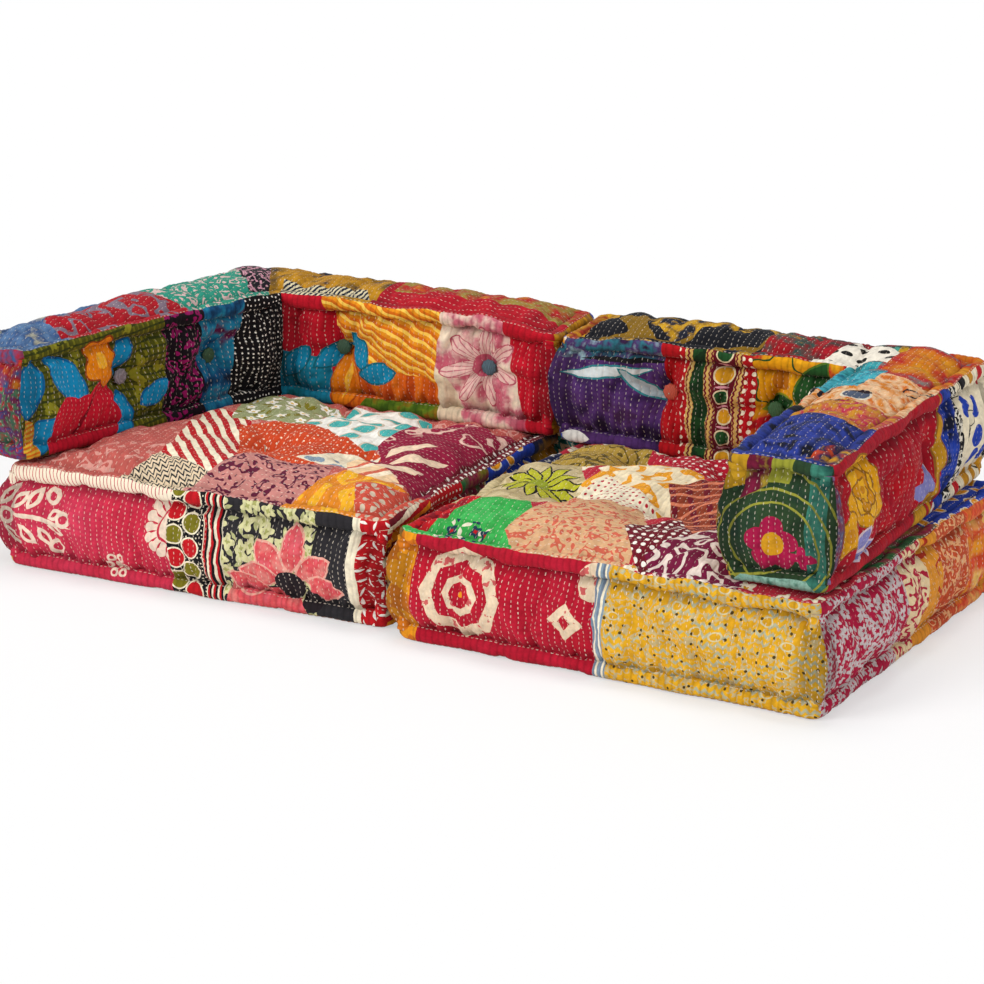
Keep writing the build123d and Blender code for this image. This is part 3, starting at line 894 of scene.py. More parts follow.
def rounded_path(corners, radius, spacing):
    """Closed path along a plan outline, rounded at its corners, with the side of each point."""
    path, sides = [], []
    count = len(corners)
    for k in range(count):
        a, b, c = corners[k], corners[(k + 1) % count], corners[(k + 2) % count]
        start, end, leave = a + unit(b - a) * radius, b - unit(b - a) * radius, b + unit(c - b) * radius
        steps = max(2, round(np.linalg.norm(end - start) / spacing))
        for step in range(steps):
            path.append(start + (end - start) * step / steps)
            sides.append(k)
        for share in (0, 0.2, 0.4, 0.6, 0.8):
            path.append(end * (1 - share) ** 2 + b * 2 * share * (1 - share) + leave * share**2)
            sides.append(k if share < 0.5 else (k + 1) % count)
    return np.array(path), np.array(sides)


def pinched(along, seed):
    """Radius share of a roll along its length: hand stitches pinch it at uneven depths."""
    step = along / roll_stitch_pitch
    depth, tied, swell = (np.array([noise.noise(Vector((s * pace, seed, row))) for s in step])
                          for pace, row in ((0.7, 0), (0.31, 9), (0.13, 5)))
    tied = np.clip(tied * 3 - 0.6, 0, 1)
    pinch = (pinch_depth + pinch_spread * depth) * (1 + np.cos(step * 2 * np.pi)) / 2
    return 1.02 - pinch + swell * pinch_swell - tied * tied_pinch


def build_roll(cushion, level, upper, cloths):
    """The rolled edge round the top or the base of a cushion, in the cloths that meet in it."""
    corners = inset_corners(cushion.corners, roll_radius)
    path, sides = rounded_path(corners, roll_rounding, fine_cell)
    gaps = np.linalg.norm(np.roll(path, -1, 0) - path, axis=1)
    along = np.concatenate(([0], np.cumsum(gaps)))
    tangents = np.roll(path, -1, 0) - np.roll(path, 1, 0)
    tangents /= np.linalg.norm(tangents, axis=1)[:, None]
    outs = np.column_stack((tangents[:, 1], -tangents[:, 0]))
    segments = roll_segments
    angles = np.linspace(0, 2 * np.pi, segments + 1)[:-1]
    radius = roll_radius * pinched(along[:-1], cushion.seed + level * 10)
    points = np.empty((len(path), segments, 3))
    for j, angle in enumerate(angles):
        points[:, j, :2] = path + outs * (radius * math.cos(angle))[:, None]
        points[:, j, 2] = level + radius * math.sin(angle)
    faces, sheets, rolls = [], [], []
    count = len(path)
    panel = cushion.count if upper else cushion.count + 1
    for i in range(count):
        following = (i + 1) % count
        for j in range(segments):
            turn = (j + 1) % segments
            faces.append((i * segments + j, following * segments + j,
                          following * segments + turn, i * segments + turn))
            middle = math.degrees(2 * math.pi * (j + 0.5) / segments)
            facing = middle if upper else (360 - middle) % 360
            sheets.append(panel if 50 < facing < 230 else int(sides[i]))
            low, high = j / segments, (j + 1) / segments
            rolls.append(((along[i], low), (along[i + 1], low), (along[i + 1], high), (along[i], high)))
    points = soften(points.reshape(-1, 3), cushion)
    if not upper:
        points[:, 2] = np.maximum(points[:, 2], cushion.bottom + 0.0003)
    name = f"{cushion.name}_{'top' if upper else 'base'}_roll"
    return make_mesh(cushion, f"{name}_cloth", points, faces, sheets, cloths, rolls)


def build_posts(cushion, cloths):
    """The upright rolled edges at the cushion's outer corners."""
    corners = inset_corners(cushion.corners, roll_radius)
    low, high = cushion.bottom + band_margin, cushion.top - band_margin
    steps = round((high - low) / fine_cell)
    segments = roll_segments
    all_points, faces, sheets, rolls = [], [], [], []
    for k in range(cushion.count):
        if not cushion.convex(k):
            continue
        levels = np.linspace(low, high, steps + 1)
        radius = roll_radius * 0.95 * pinched(levels, cushion.seed + k * 3)
        out = unit(cushion.outs[k] + cushion.outs[k - 1])
        start = len(all_points)
        for level, r in zip(levels, radius):
            for j in range(segments):
                angle = 2 * math.pi * j / segments
                direction = out * math.cos(angle) + left_of(out) * math.sin(angle)
                all_points.append((*(corners[k] + direction * r), level))
        for i in range(steps):
            for j in range(segments):
                turn = (j + 1) % segments
                a, b = start + i * segments, start + (i + 1) * segments
                faces.append((a + j, a + turn, b + turn, b + j))
                sheets.append(k if j < segments / 2 else (k - 1) % cushion.count)
                low_share, high_share = j / segments, (j + 1) / segments
                rolls.append(((levels[i], low_share), (levels[i], high_share),
                              (levels[i + 1], high_share), (levels[i + 1], low_share)))
        for first, order in ((start, -1), (start + steps * segments, 1)):
            for j in range(segments // 2 - 1):
                cap = (first + j, first + j + 1, first + segments - 2 - j, first + segments - 1 - j)
                faces.append(cap[::order])
                sheets.append(k)
                rolls.append(((0, 0),) * 4)
    points = soften(np.array(all_points), cushion)
    return make_mesh(cushion, f"{cushion.name}_corner_cloth", points, faces, sheets, cloths, rolls)


# Cloths of the photograph

crimson, scarlet, coral, maroon = "b0142c", "b8161f", "c9503f", "6b1524"
cream, white, grey, mustard = "eadfc4", "f0ece2", "a8a49c", "cf9420"
marigold, yellow, olive, dark_green = "e0921c", "dcb43a", "77701c", "1f4a28"
sage, teal, royal, navy = "93996c", "168080", "2440a8", "1a2040"
charcoal, black, grey_blue = "2a282b", "151316", "8296a6"


def drawn(**finish):
    """Makes a function that draws on a cloth into one that gives the finished material."""
    def wrap(draw):
        def make():
            cloth = Cloth(draw.__name__)
            draw(cloth)
            return cloth.finish(**finish)
        return make
    return wrap


def round_from(x, y, reach, angle):
    """The place at a distance and an angle from a place."""
    return x + reach * math.cos(angle), y + reach * math.sin(angle)


def spare_cloth(sheet):
    """Patchwork for sheets that the photograph doesn't show: strips of the same kinds of prints."""
    c = Cloth(f"spare_{sheet}")
    seed = 0.7 + sheet * 1.9
    prints = [
        lambda: c.blooms(0.06, crimson, cream, mustard, seed),
        lambda: c.painted(0.06, (navy, mustard, "8a6418", navy), seed),
        lambda: c.dots(0.014, scarlet, white, 0.2, seed),
        lambda: c.ovals(0.03, mustard, maroon, cream, seed),
        lambda: c.zigzag(0.022, 0.3, teal, cream, 0.4),
        lambda: c.painted(0.06, (dark_green, "2f6a3a", "8a1440", olive), seed),
        lambda: c.scroll(0.016, "d0a47a", "c8604a", 0.3, seed, 3.0),
        lambda: c.blooms(0.05, charcoal, coral, cream, seed, 5, leaf=sage),
        lambda: c.leaves(0.045, royal, marigold, cream, seed, 0.18),
        lambda: c.stripes(0.05, 0.2, (marigold, scarlet, cream, maroon), 0.02),
    ]
    number = sheet * 3 % len(prints)
    stride = (3, 7, 9)[sheet % 3]
    c.color = prints[number]()
    place = 0.1 + 0.025 * (sheet % 4)
    while place < 0.95:
        number = (number + stride) % len(prints)
        width = 0.11 + 0.03 * ((number + sheet) % 4)
        c.strip(place, place + width, prints[number](), lying if number % 3 == 0 else None)
        place += width
    return c.finish()


@drawn(strength=0.45)
def base_cloth(c):
    """Plain rust-coloured cotton under the cushions."""
    c.color = c.painted(0.08, ("8a4a22", "a5582a"), 0.5)


@drawn(whipped=(-0.1, 0.385))
def left_seat_front(c):
    c.color = c.painted(0.12, ("ca3c56", "bf304a", "c02a42"), 1.0)
    pale, red = "e4cdb8", "b8283f"
    c.leaf(0.085, 0.112, 0.085, 0.0045, -0.12, pale)
    for x, y, lean, size in (
            (0.02, 0.15, 0.9, 0.03), (0.05, 0.145, 0.7, 0.03), (0.08, 0.15, 1.0, 0.026),
            (0.03, 0.07, -0.9, 0.03), (0.065, 0.078, -0.8, 0.028), (0.1, 0.075, -1.0, 0.024),
            (0.125, 0.125, 0.5, 0.02), (0.128, 0.095, -0.4, 0.02)):
        c.leaf(x, y, size, 0.011, lean, pale)
        c.leaf(x, y, size * 0.55, 0.004, lean, red)
    for x, y in ((0.115, 0.158), (0.148, 0.118), (0.122, 0.055), (0.018, 0.11)):
        c.ring_at(x, y, 0.013, 0.008, pale)
    for turn in range(6):
        x, y = round_from(0.262, 0.04, 0.018, turn * math.pi / 3)
        c.disc(x, y, 0.0085, pale)
        c.disc(x, y, 0.004, red)
    c.disc(0.262, 0.04, 0.007, pale)
    c.disc(0.4, 0.135, 0.06, pale)
    for turn in range(13):
        angle = 1.2 + turn * 0.33
        c.disc(*round_from(0.4, 0.135, 0.06, angle), 0.0105, pale)
        c.leaf(*round_from(0.4, 0.135, 0.052, angle + 0.16), 0.015, 0.0022, angle + 0.16, red)
    c.ring_at(0.4, 0.135, 0.034, 0.006, red)
    beads = c.dots(0.009, black, cream, 0.16, 0.2, 0.6)
    for number in range(5):
        for x, fill in ((0.398, number % 2), (0.434, (number + 1) % 2)):
            reach = c.reach(*c.placed(x, 0.012 + number * 0.046 + (0.02 if x < 0.41 else 0.0)))
            beads = c.mix(reach < 0.0205, beads, cream)
            beads = c.mix(reach < 0.0175, beads, scarlet if fill else olive)
    c.strip(0.385, 0.462, beads, upright)
    c.strip(0.462, 0.5, c.stripes(0.013, upright, (scarlet, cream, black)))
    dark = c.blooms(0.034, charcoal, "cfcb98", "a3a462", 0.8, 4, 0.54, leaf="b0b07c")
    dark = c.mix(c.x > 0.7, dark, charcoal)
    c.strip(0.5, 0.778, dark, upright)
    coral_print = c.painted(0.03, ("d8606a", "cf4a50", "d98078"), 2.0)
    c.patch((50, -1, 69, -1, 66, 4, 52, 5.5), coral_print)
    for x, y, lean, size in (
            (0.655, 0.135, 1.5, 0.045), (0.61, 0.11, 2.4, 0.042), (0.7, 0.1, 0.5, 0.045),
            (0.585, 0.075, 3.0, 0.045), (0.72, 0.065, -0.1, 0.04), (0.55, 0.05, 2.9, 0.04)):
        c.leaf(x, y, size, 0.022, lean, coral_print, "e0a090")
    c.disc(0.645, 0.06, 0.03, "231c20")
    c.disc(0.69, 0.032, 0.022, "231c20")
    c.strip(0.778, 0.795, cream)
    drops = c.leaves(0.022, scarlet, white, None, 0.5, 0.11, 0.25)
    c.strip(0.795, 0.862, drops, lying)


@drawn(strength=0.46)
def left_seat_top(c):
    c.color = c.scroll(0.03, "b65850", "cf9084", 0.22, 0.9, 3.0)
    c.patch((0, 69, 28, 69, 30, 95, -5, 95),
            c.stripes(0.05, 0.2, (marigold, scarlet, cream, maroon), 0.02))
    c.patch((28, 69, 58, 69, 56, 95, 30, 95), c.dots(0.014, scarlet, white, 0.2, 0.7))
    c.patch((58, 69, 95, 69, 95, 95, 56, 95), c.ovals(0.03, mustard, maroon, cream, 0.7))
    c.patch((-5, 32, 8, 30, 19, 69, -5, 69), c.blooms(0.05, charcoal, coral, cream, 0.7, 5, leaf=sage))
    c.patch((0, 3, 30, 0, 26, 36, 0, 40), c.scroll(0.03, "b65850", "cf9084", 0.22, 0.9, 3.0))
    c.patch((26, 0, 45, -5, 46, 12, 30, 13), c.zigzag(0.013, 0.7, "ddc8a8", charcoal, 0.9), lying)
    c.patch((30, 11, 46, 6, 46, 14, 33, 40, 22, 40), c.stripes(0.024, 2.3, ("b01a20", cream), 0.004))
    c.patch((30, 37, 44, 40, 43, 60, 20, 62),
            c.blooms(0.04, sage, white, yellow, 1.4, 5, 0.36, leaf=olive))
    c.patch((33, 35, 46, 12, 60, 15, 67, 33, 47, 43),
            c.dots(0.015, "c44420", cream, 0.13, 0.2), upright)
    c.patch((40, -2, 70, -4, 65, 16, 45, 14), c.scroll(0.02, "c08078", "5c1c34", 0.36, 0.6, 3.0), lying)
    c.patch((44, 42, 62, 33, 70, 44, 62, 62, 44, 62),
            c.ovals(0.06, "ece9e0", "45a8a4", "c9b8a0", 0.7, 0.3, 0.75))
    c.patch((56, 17, 67, 17, 66, 33, 58, 30), c.blots(0.03, cream, grey_blue, 2.2, 0.55))
    c.patch((63, 24, 73, 7, 80, 15, 70, 37),
            c.stripes(0.045, 0.9, ("e6c49a", "eddcc0", "c8604a", "e6c49a"), 0.01), lying)
    c.patch((63, 37, 75, 19, 86, 12, 92, 20, 88, 62, 66, 60),
            c.scroll(0.06, "8a1838", "dfb8a8", 0.16, 0.8, 3.0), lying)
    c.patch((66, 22, 78, 18, 80, 36, 68, 40),
            c.stripes(0.07, 0.6, ("8a1838", "e8cdb0", "8a1838"), 0.03))
    c.patch((62, 0, 74, -10, 87, -3, 84, 15, 68, 15),
            c.scroll(0.07, "d98424", "e8ac2a", 0.36, 1.7, 3.0), upright)
    c.patch((73, 10, 80, -3, 90, -2, 85, 17), c.dots(0.02, coral, "c9b7a0", 0.28, 0.9, 0.2), lying)
    c.patch((81.5, 20, 90, 20, 90, 90, 81.5, 90), c.dots(0.018, maroon, white, 0.2, 0.1, 0.3))


@drawn()
def right_seat_front(c):
    c.color = c.painted(0.1, ("b81c34", "a8142a", "b5182c"), 1.0)
    tied = c.blots(0.02, "ddc6a8", "c25a58", 3.0, 0.6, 3.0)
    c.ring_at(0.15, 0.115, 0.068, 0.023, tied, 8)
    c.ring_at(0.15, 0.115, 0.03, 0.012, tied, 8)
    c.disc(0.15, 0.115, 0.006, marigold)
    c.ring_at(0.362, 0.1, 0.018, 0.015, tied, 4)
    c.disc(0.412, 0.178, 0.034, tied)
    c.strip(-0.1, 0.048, c.blots(0.05, marigold, "c8701a", 0.4))
    c.strip(0.412, 0.437, c.stripes(0.0125, upright, (grey_blue, cream, "6f7f92")))
    folk = c.scroll(0.014, "d29c1e", "bda878", 0.2, 0.3, 2.0)
    folk = c.mix(c.noise(c.x, c.y, 0.035, 3.0, 3.0) > 0.54, folk,
                 c.zigzag(0.016, 0.0, "d8a424", "a9a88c", 0.5))
    x, y, chance, _ = c.cells(0.042, 2.0, 0.5)
    reach = c.reach(x, y * 1.5)
    some = c.math("MULTIPLY", reach < 0.012, chance > 0.55)
    folk = c.mix(some, folk, "c6bd98")
    folk = c.mix(c.math("MULTIPLY", some, reach < 0.0088), folk, "cf9a20")
    near = c.cells(0.026, 4.0, 0.8)
    folk = c.mix(c.reach(near[0], near[1]) < 0.0026, folk, "4a3a1a")
    c.strip(0.437, 0.9, folk, upright)


@drawn(strength=0.46)
def right_seat_right(c):
    dense = c.blooms(0.026, "a5163a", "c0b4b4", "a5163a", 0.6, 6, 0.5, leaf="b8a8a8")
    c.color = dense
    c.strip(0.36, 0.52, c.scroll(0.09, "d0882a", "a8301c", 0.16, 1.1, 3.0), upright)
    c.patch((34, -2, 42, -2, 46, 25, 36, 25), c.scroll(0.02, "dcc49a", "a8203a", 0.4, 1.9, 3.0))
    c.strip(0.52, 0.66, c.scroll(0.014, "b84a2a", "d9a070", 0.36, 1.9, 3.0), upright)
    c.strip(0.66, 0.9, c.painted(0.05, ("d9902a", "c8402a", "e0b060"), 1.2), upright)


@drawn(strength=0.46)
def right_seat_top(c):
    c.color = c.blooms(0.06, "b32638", cream, mustard, 0.4, 5, 0.4)
    c.patch((-5, 72, 30, 72, 28, 95, -5, 95), c.painted(0.06, (navy, mustard, "8a6418", navy), 2.6))
    c.patch((30, 72, 62, 72, 64, 95, 28, 95), c.zigzag(0.022, 0.3, teal, cream, 0.4), lying)
    c.patch((66, 52, 95, 55, 95, 95, 64, 95), c.leaves(0.045, royal, marigold, cream, 2.6, 0.18))
    c.patch((69, 20, 95, 22, 95, 55, 66, 52),
            c.painted(0.06, (dark_green, "2f6a3a", "8a1440", olive), 2.6))
    c.patch((0, -8, 24, -8, 24, 10, 16, 22, 0, 20), c.blots(0.05, "3fae54", "35a048", 0.35))
    c.patch((7, 0, 16, -1, 18, 6, 10, 6),
            c.blooms(0.03, "35a048", "1c3a4a", scarlet, 0.35, 4, 0.42, "e0d8c0"))
    c.patch((0, 2, 5.5, 3, 12.5, 18.5, 8, 26, 0, 22), c.blots(0.03, scarlet, "8a1020", 0.7))
    c.patch((0, 20, 17, 16, 28, 24, 12, 50, 0, 50), c.blots(0.05, "cbb98e", "b5a276", 1.1))
    for number in range(14):
        angle = number * 2 * math.pi / 14
        reach = 0.044 + 0.006 * math.cos(number * 2.1)
        c.leaf(*round_from(0.13, 0.318, reach, angle), 0.042, 0.0095, angle, "b5b42c", black)
    c.disc(0.13, 0.318, 0.02, "8f9a2a")
    c.patch((-2, 46, 10, 42, 14, 56, 0, 62), c.blooms(0.03, navy, grey, white, 0.8, 5, 0.45))
    c.patch((10, 42, 25, 46, 20, 66, 3, 62), c.scroll(0.035, "a88a3a", "5a4a1c", 0.3, 0.9, 4.0))
    c.patch((20, 34, 40, 26, 45, 38, 37, 53, 22, 50),
            c.scroll(0.05, "eddcb8", "e39a24", 0.42, 2.2, 3.0))
    c.patch((20, 30, 40, 19, 43, 26, 24, 40), c.dots(0.013, cream, crimson, 0.22, 0.4))
    c.patch((20, 6, 30, -6, 46, -7, 46, 12, 38, 25, 23, 25),
            c.scroll(0.016, "d0a47a", "c8604a", 0.3, 1.9, 3.0), lying)
    c.patch((22, 50, 36, 50, 45, 44, 56, 68, 24, 70), c.dots(0.016, "a8122a", white, 0.2, 0.6), lying)
    c.patch((36, 40, 50, 14, 60, 16, 56, 50, 43, 50), c.checks(0.03, 0.5, "8a3a24", maroon, "d07858"))
    c.patch((41, 12, 50, 0, 56, 10, 47, 23), c.dots(0.016, maroon, white, 0.26, 0.3))
    c.patch((48, 6, 58, -6, 70, -6, 64, 20, 56, 20), c.scroll(0.05, "70183a", "e0cfc4", 0.4, 0.4, 5.0))


@drawn(strength=0.36)
def left_arm_inner(c):
    c.color = c.checks(0.014, 0.1, "4c4c10", "6f6c18", "343a10")
    c.color = c.mix(c.noise(c.x, c.y, 0.03, 9.0, 3.0) > 0.6, c.color, "827e20")
    blue, deep_blue = "1488b8", "0f5f96"
    for leaf in ((0.015, 0.145, 0.055, 0.028, 1.35), (0.105, 0.155, 0.065, 0.03, 2.35),
                 (0.045, 0.045, 0.05, 0.028, 0.9), (0.262, 0.04, 0.045, 0.024, 1.5),
                 (0.262, 0.165, 0.04, 0.018, 1.2), (0.35, 0.08, 0.04, 0.022, 0.5)):
        c.leaf(*leaf, blue, deep_blue)
    for x, y, reach in ((0.145, 0.055, 0.06), (0.195, 0.095, 0.04), (0.105, 0.08, 0.04),
                        (0.215, 0.055, 0.042), (0.105, 0.02, 0.042), (0.185, 0.012, 0.036)):
        c.disc(x, y, reach, "c0182e")
    c.leaf(0.155, 0.075, 0.055, 0.004, 1.2, "7c0c1c")
    c.flower(0.205, 0.17, 0.052, "e0820f", "f2b12e", 5, "8a3a10", 0.14, 0.5)
    c.patch((0, -1, 5, -1, 2, 8, 0, 9), c.stripes(0.01, 0.2, (yellow, "d8741a")))
    c.strip(0.375, 0.49, c.scroll(0.02, "150d14", "8c1458", 0.4, 0.8, 3.5), upright)
    c.strip(0.482, 0.6, c.painted(0.05, ("0d1a30", "14507c", "1f80a0", "5a1640"), 0.6), upright)
    c.patch((55, -2, 72, -2, 72, 27, 60, 27, 57, 8),
            c.dots(0.011, "100d10", white, 0.17, 0.4, 0.4), upright)


@drawn(strength=0.36)
def left_back_front(c):
    c.color = c.painted(0.1, ("c01428", "a80f20"), 0.4)
    c.patch((-5, 0, 14, 0, 10, 10, -5, 12), c.painted(0.05, ("0e5f78", "1a88a8", "0f6a70"), 1.0))
    c.patch((14, 0, 37.5, 0, 37.5, 13, 13, 15),
            c.stripes(0.05, upright, ("cf5a12", "d96a14", "c04a10")))
    c.patch((10, 22.5, 14, 11.5, 37.5, 8.5, 37.5, 26, 9, 26),
            c.stripes(0.018, -0.42, ("cc6612", "dd8a1a", "f2c452"), 0.02))
    for x, y, lean in (
            (0.115, 0.108, 0.7), (0.185, 0.125, 2.2), (0.232, 0.085, 0.2), (0.04, 0.09, 0.9)):
        c.leaf(x, y, 0.042, 0.022, lean, "1482a8", "0f5f70")
    c.leaf(0.15, 0.06, 0.065, 0.034, 1.35, "e07c10", "b04a10")
    c.leaf(0.155, 0.065, 0.045, 0.006, 1.35, "f2b83a")
    c.patch((16, -2, 37.5, -2, 37.5, 3.4, 20, 3), c.painted(0.03, ("3a5a14", "5f7a1c", "8a5a14"), 0.2))
    pale = c.painted(0.04, ("e6d2b8", "e0bcae", "c46a78", "b84a5e"), 0.9)
    c.patch((37.2, -2, 58.5, -2, 50.5, 26, 37.2, 26), pale, upright)
    c.patch((37.2, -2, 44, -2, 40, 10, 37.2, 12), "ddc9aa")
    across, up = c.placed(0.465, 0.126)
    streaks = c.wave(c.bearing(across, up) * 37 + c.reach(across, up) * 60)
    c.flower(0.465, 0.126, 0.082, c.mix(streaks > 0.72, "e2b9ae", "c0707a"), "c4566a", 7,
             "b04a5c", 0.3, 0.5)


@drawn(strength=0.36)
def left_arm_end(c):
    c.color = c.painted(0.022, ("a0142a", "2a4a80", "7a1848", "2f7a5a", "b02030"), 0.3)
    c.patch((-1, 15, 20, 15, 20, 30, -1, 30), c.painted(0.03, ("c97a1c", "a01c28", "35507c"), 0.8))


@drawn(strength=0.36)
def left_bolster_top(c):
    c.color = c.painted(0.05, ("3a5a84", "5a7aa0", "35507c", "b8b49a"), 0.4)
    c.patch((0, -12, 22, -12, 20, -2, 3, 0),
            c.painted(0.03, ("c9761c", "a01c28", "4a6a80", "c98a2a"), 1.4))
    c.patch((0, 15, 20, 8, 22, 43, 0, 46), c.scroll(0.045, "a51824", "7a6a78", 0.24, 0.9, 2.6))
    c.patch((0, 46, 24, 42, 27, 60, 12, 80, 0, 80), c.scroll(0.018, "2a8a74", "d0b0ac", 0.3, 1.6, 3.0))
    c.patch((2, 82, 19, 62, 24, 70, 10, 92), c.scroll(0.014, "17121a", "c890a0", 0.34, 0.7, 3.0))
    c.patch((14, 80, 25, 60, 46, 62, 46, 92, 8, 92),
            c.painted(0.075, ("1f2434", "a8761a", "b8841c", "8a6418", "1c2230"), 0.5, 3.0))
    c.patch((24, 66, 44, 69, 42, 72, 22, 72), c.stripes(0.01, 1.0, ("d0c4a0", "1f2434")))
    c.patch((44.5, 62, 93, 60, 93, 92, 47, 92),
            c.painted(0.08, ("a01424", "b01a28", "8a1220"), 0.9), lying)
    c.patch((47, 74, 88, 74, 90, 92, 48, 92),
            c.painted(0.07, ("a01424", "93843c", "a81824", "c07a1c"), 2.9), lying)
    c.patch((83, 60, 93, 60, 93, 68, 84, 66), c.dots(0.026, "901424", white, 0.3, 0.3, 0.5))


@drawn(strength=0.36)
def right_back_front(c):
    c.color = c.painted(0.06, ("22102c", "3c2152", "52306a", "3a1c40"), 0.9)
    c.patch((-2, 17.2, 24, 19, 24, 26, -2, 26),
            c.painted(0.035, ("2c1838", "2a6a78", "4a2a60", "8aa8b0"), 2.0))
    c.leaf(0.11, 0.158, 0.09, 0.01, 0.12, "c9d0d0", "2a7a80")
    c.leaf(0.18, 0.135, 0.05, 0.012, 2.5, "a8b4b8", "2a7a80")
    c.leaf(0.04, 0.015, 0.035, 0.014, 0.0, "e0dcd4")
    c.leaf(0.15, 0.185, 0.1, 0.005, 0.05, black)
    c.strip(0.235, 0.285, c.dots(0.015, "a81018", cream, 0.24, 0.3))
    c.strip(0.228, 0.27, "a81018")
    c.strip(0.283, 0.298, c.zigzag(0.01, upright, "c9a45a", maroon, 0.3))
    c.strip(0.298, 0.326, c.blots(0.03, "1a3f1c", "122c14", 0.3))
    c.strip(0.326, 0.342, c.zigzag(0.01, upright, "c9a45a", maroon, 0.3))
    c.strip(0.342, 0.386, "5c0f1c")
    for number in range(6):
        y = 0.015 + number * 0.042
        c.disc(0.364, y, 0.0175, "d8c8a0", 0.95)
        c.disc(0.364, y, 0.0145, "1f4a24" if number % 2 else "c98f1c", 0.95)
        c.leaf(0.364, y + 0.021, 0.014, 0.0022, 0.0, "d0909a")
    c.strip(0.386, 0.402, c.zigzag(0.01, upright, "c9a45a", maroon, 0.3))
    flowers = c.painted(0.055, ("a0121c", "b01820", "c98a12", "e0a018"), 1.7)
    c.strip(0.402, 0.62, flowers, upright)
    c.flower(0.475, 0.185, 0.062, "d8960f", "b06a10", 5, "1f4a20", 0.16, 0.2)
    c.leaf(0.47, 0.135, 0.035, 0.018, 0.4, "1f4a20", "7a8a20")
    c.leaf(0.545, 0.185, 0.055, 0.026, 1.0, "1f4a20", "4a6a20")
    c.strip(0.402, 0.424, c.dots(0.016, "a81018", cream, 0.26, 0.3))


@drawn(strength=0.36)
def right_arm_end(c):
    c.color = c.painted(0.08, ("1c2f1c", "2a4026", "1c3428"), 0.4)
    c.strip(0.15, 0.185, c.painted(0.05, ("17403a", "3a7a68", "14362c"), 0.3), upright)
    for x, y, reach in ((0.095, 0.08, 0.078), (0.095, 0.08, 0.1), (0.09, 0.09, 0.122)):
        c.ring_at(x, y, reach, 0.0038, "8d8c34")
    c.leaf(0.045, 0.02, 0.06, 0.0025, 0.2, "8d8c34")
    for turn in range(5):
        angle = turn * 1.257 + 0.3
        c.disc(0.092 + 0.026 * math.cos(angle), 0.082 + 0.032 * math.sin(angle), 0.021, "9c1440")
    c.disc(0.092, 0.082, 0.017, "c8901c", 1.4)
    c.flower(0.142, 0.062, 0.026, "a81648", "8a1038", 4, None, 0.25, 0.4)
    c.patch((-1, -2, 19, -2, 15, 2.2, 3, 1.8), c.painted(0.02, ("5a8a78", "8ab0a0", "3a6a58"), 0.6))
    c.patch((0, 16.5, 5.5, 19, 4.5, 25, 0, 25), "b58a1c")
    c.patch((3, 15.5, 7.5, 18.5, 10, 25, 4, 25), c.painted(0.03, ("7a1a3a", "5a1428", "a08a2a"), 0.9))
    c.patch((7.5, 19, 11.5, 19, 12.5, 25, 8.5, 25), "8f9030")


@drawn(strength=0.36)
def right_arm_outer(c):
    c.color = c.painted(0.1, ("a50f1c", "961224", "b01420"), 1.2)
    rose, dark_rose = "cf9212", "8a5a10"
    c.disc(0.135, 0.157, 0.076, dark_rose, 0.82)
    c.disc(0.135, 0.157, 0.072, rose, 0.82)
    c.flower(0.055, 0.098, 0.04, rose, "b87a12", 4, dark_rose, 0.2, 0.8)
    for reach in (0.052, 0.036, 0.02):
        c.flower(0.135, 0.16, reach, "dba21c" if reach != 0.036 else "c2820f",
                 "b87810", 5, dark_rose, 0.14, reach * 30)
    bell = "7c7ab0"
    for x, y, lean in ((0.115, 0.068, 1.2), (0.15, 0.045, 0.4), (0.195, 0.058, 1.6), (0.49, 0.1, 1.45)):
        c.leaf(x, y, 0.03, 0.016, lean, bell, "c8b8c0")
    c.patch((42.5, 7.5, 46, 5, 53, 5.5, 50.5, 10.5), bell)
    c.leaf(0.545, 0.12, 0.12, 0.013, 1.5, "b8861c", "8a5a20")
    c.leaf(0.475, 0.00, 0.07, 0.03, 0.9, "b8861c", "8a5a20")
    c.ring_at(0.565, 0.0, 0.02, 0.01, "d8d0c8")
    c.strip(0.562, 0.615, c.painted(0.03, ("101428", "1c3590", "2440a0"), 0.5), upright)
    c.strip(0.615, 0.652, c.scroll(0.012, "101010", "d8d0c0", 0.42, 0.2, 3.0))
    cloth = c.scroll(0.09, "ddd0b4", "1a1a1c", 0.045, 0.2, 3.0)
    x, y, chance, other = c.cells(0.052, 1.4, 0.35)
    bean = c.reach(x * 1.5, y) < 0.021
    cloth = c.mix(bean, cloth, "1f3a9a")
    for value, least, shade in (
            (chance, 0.42, "b01420"), (chance, 0.72, "131214"), (other, 0.84, "b8801c")):
        cloth = c.mix(c.math("MULTIPLY", bean, value > least), cloth, shade)
    c.strip(0.652, 0.9, cloth)
    c.strip(-0.05, 0.012, c.painted(0.03, ("8a1a34", "6a6a90", "a01828"), 0.5))


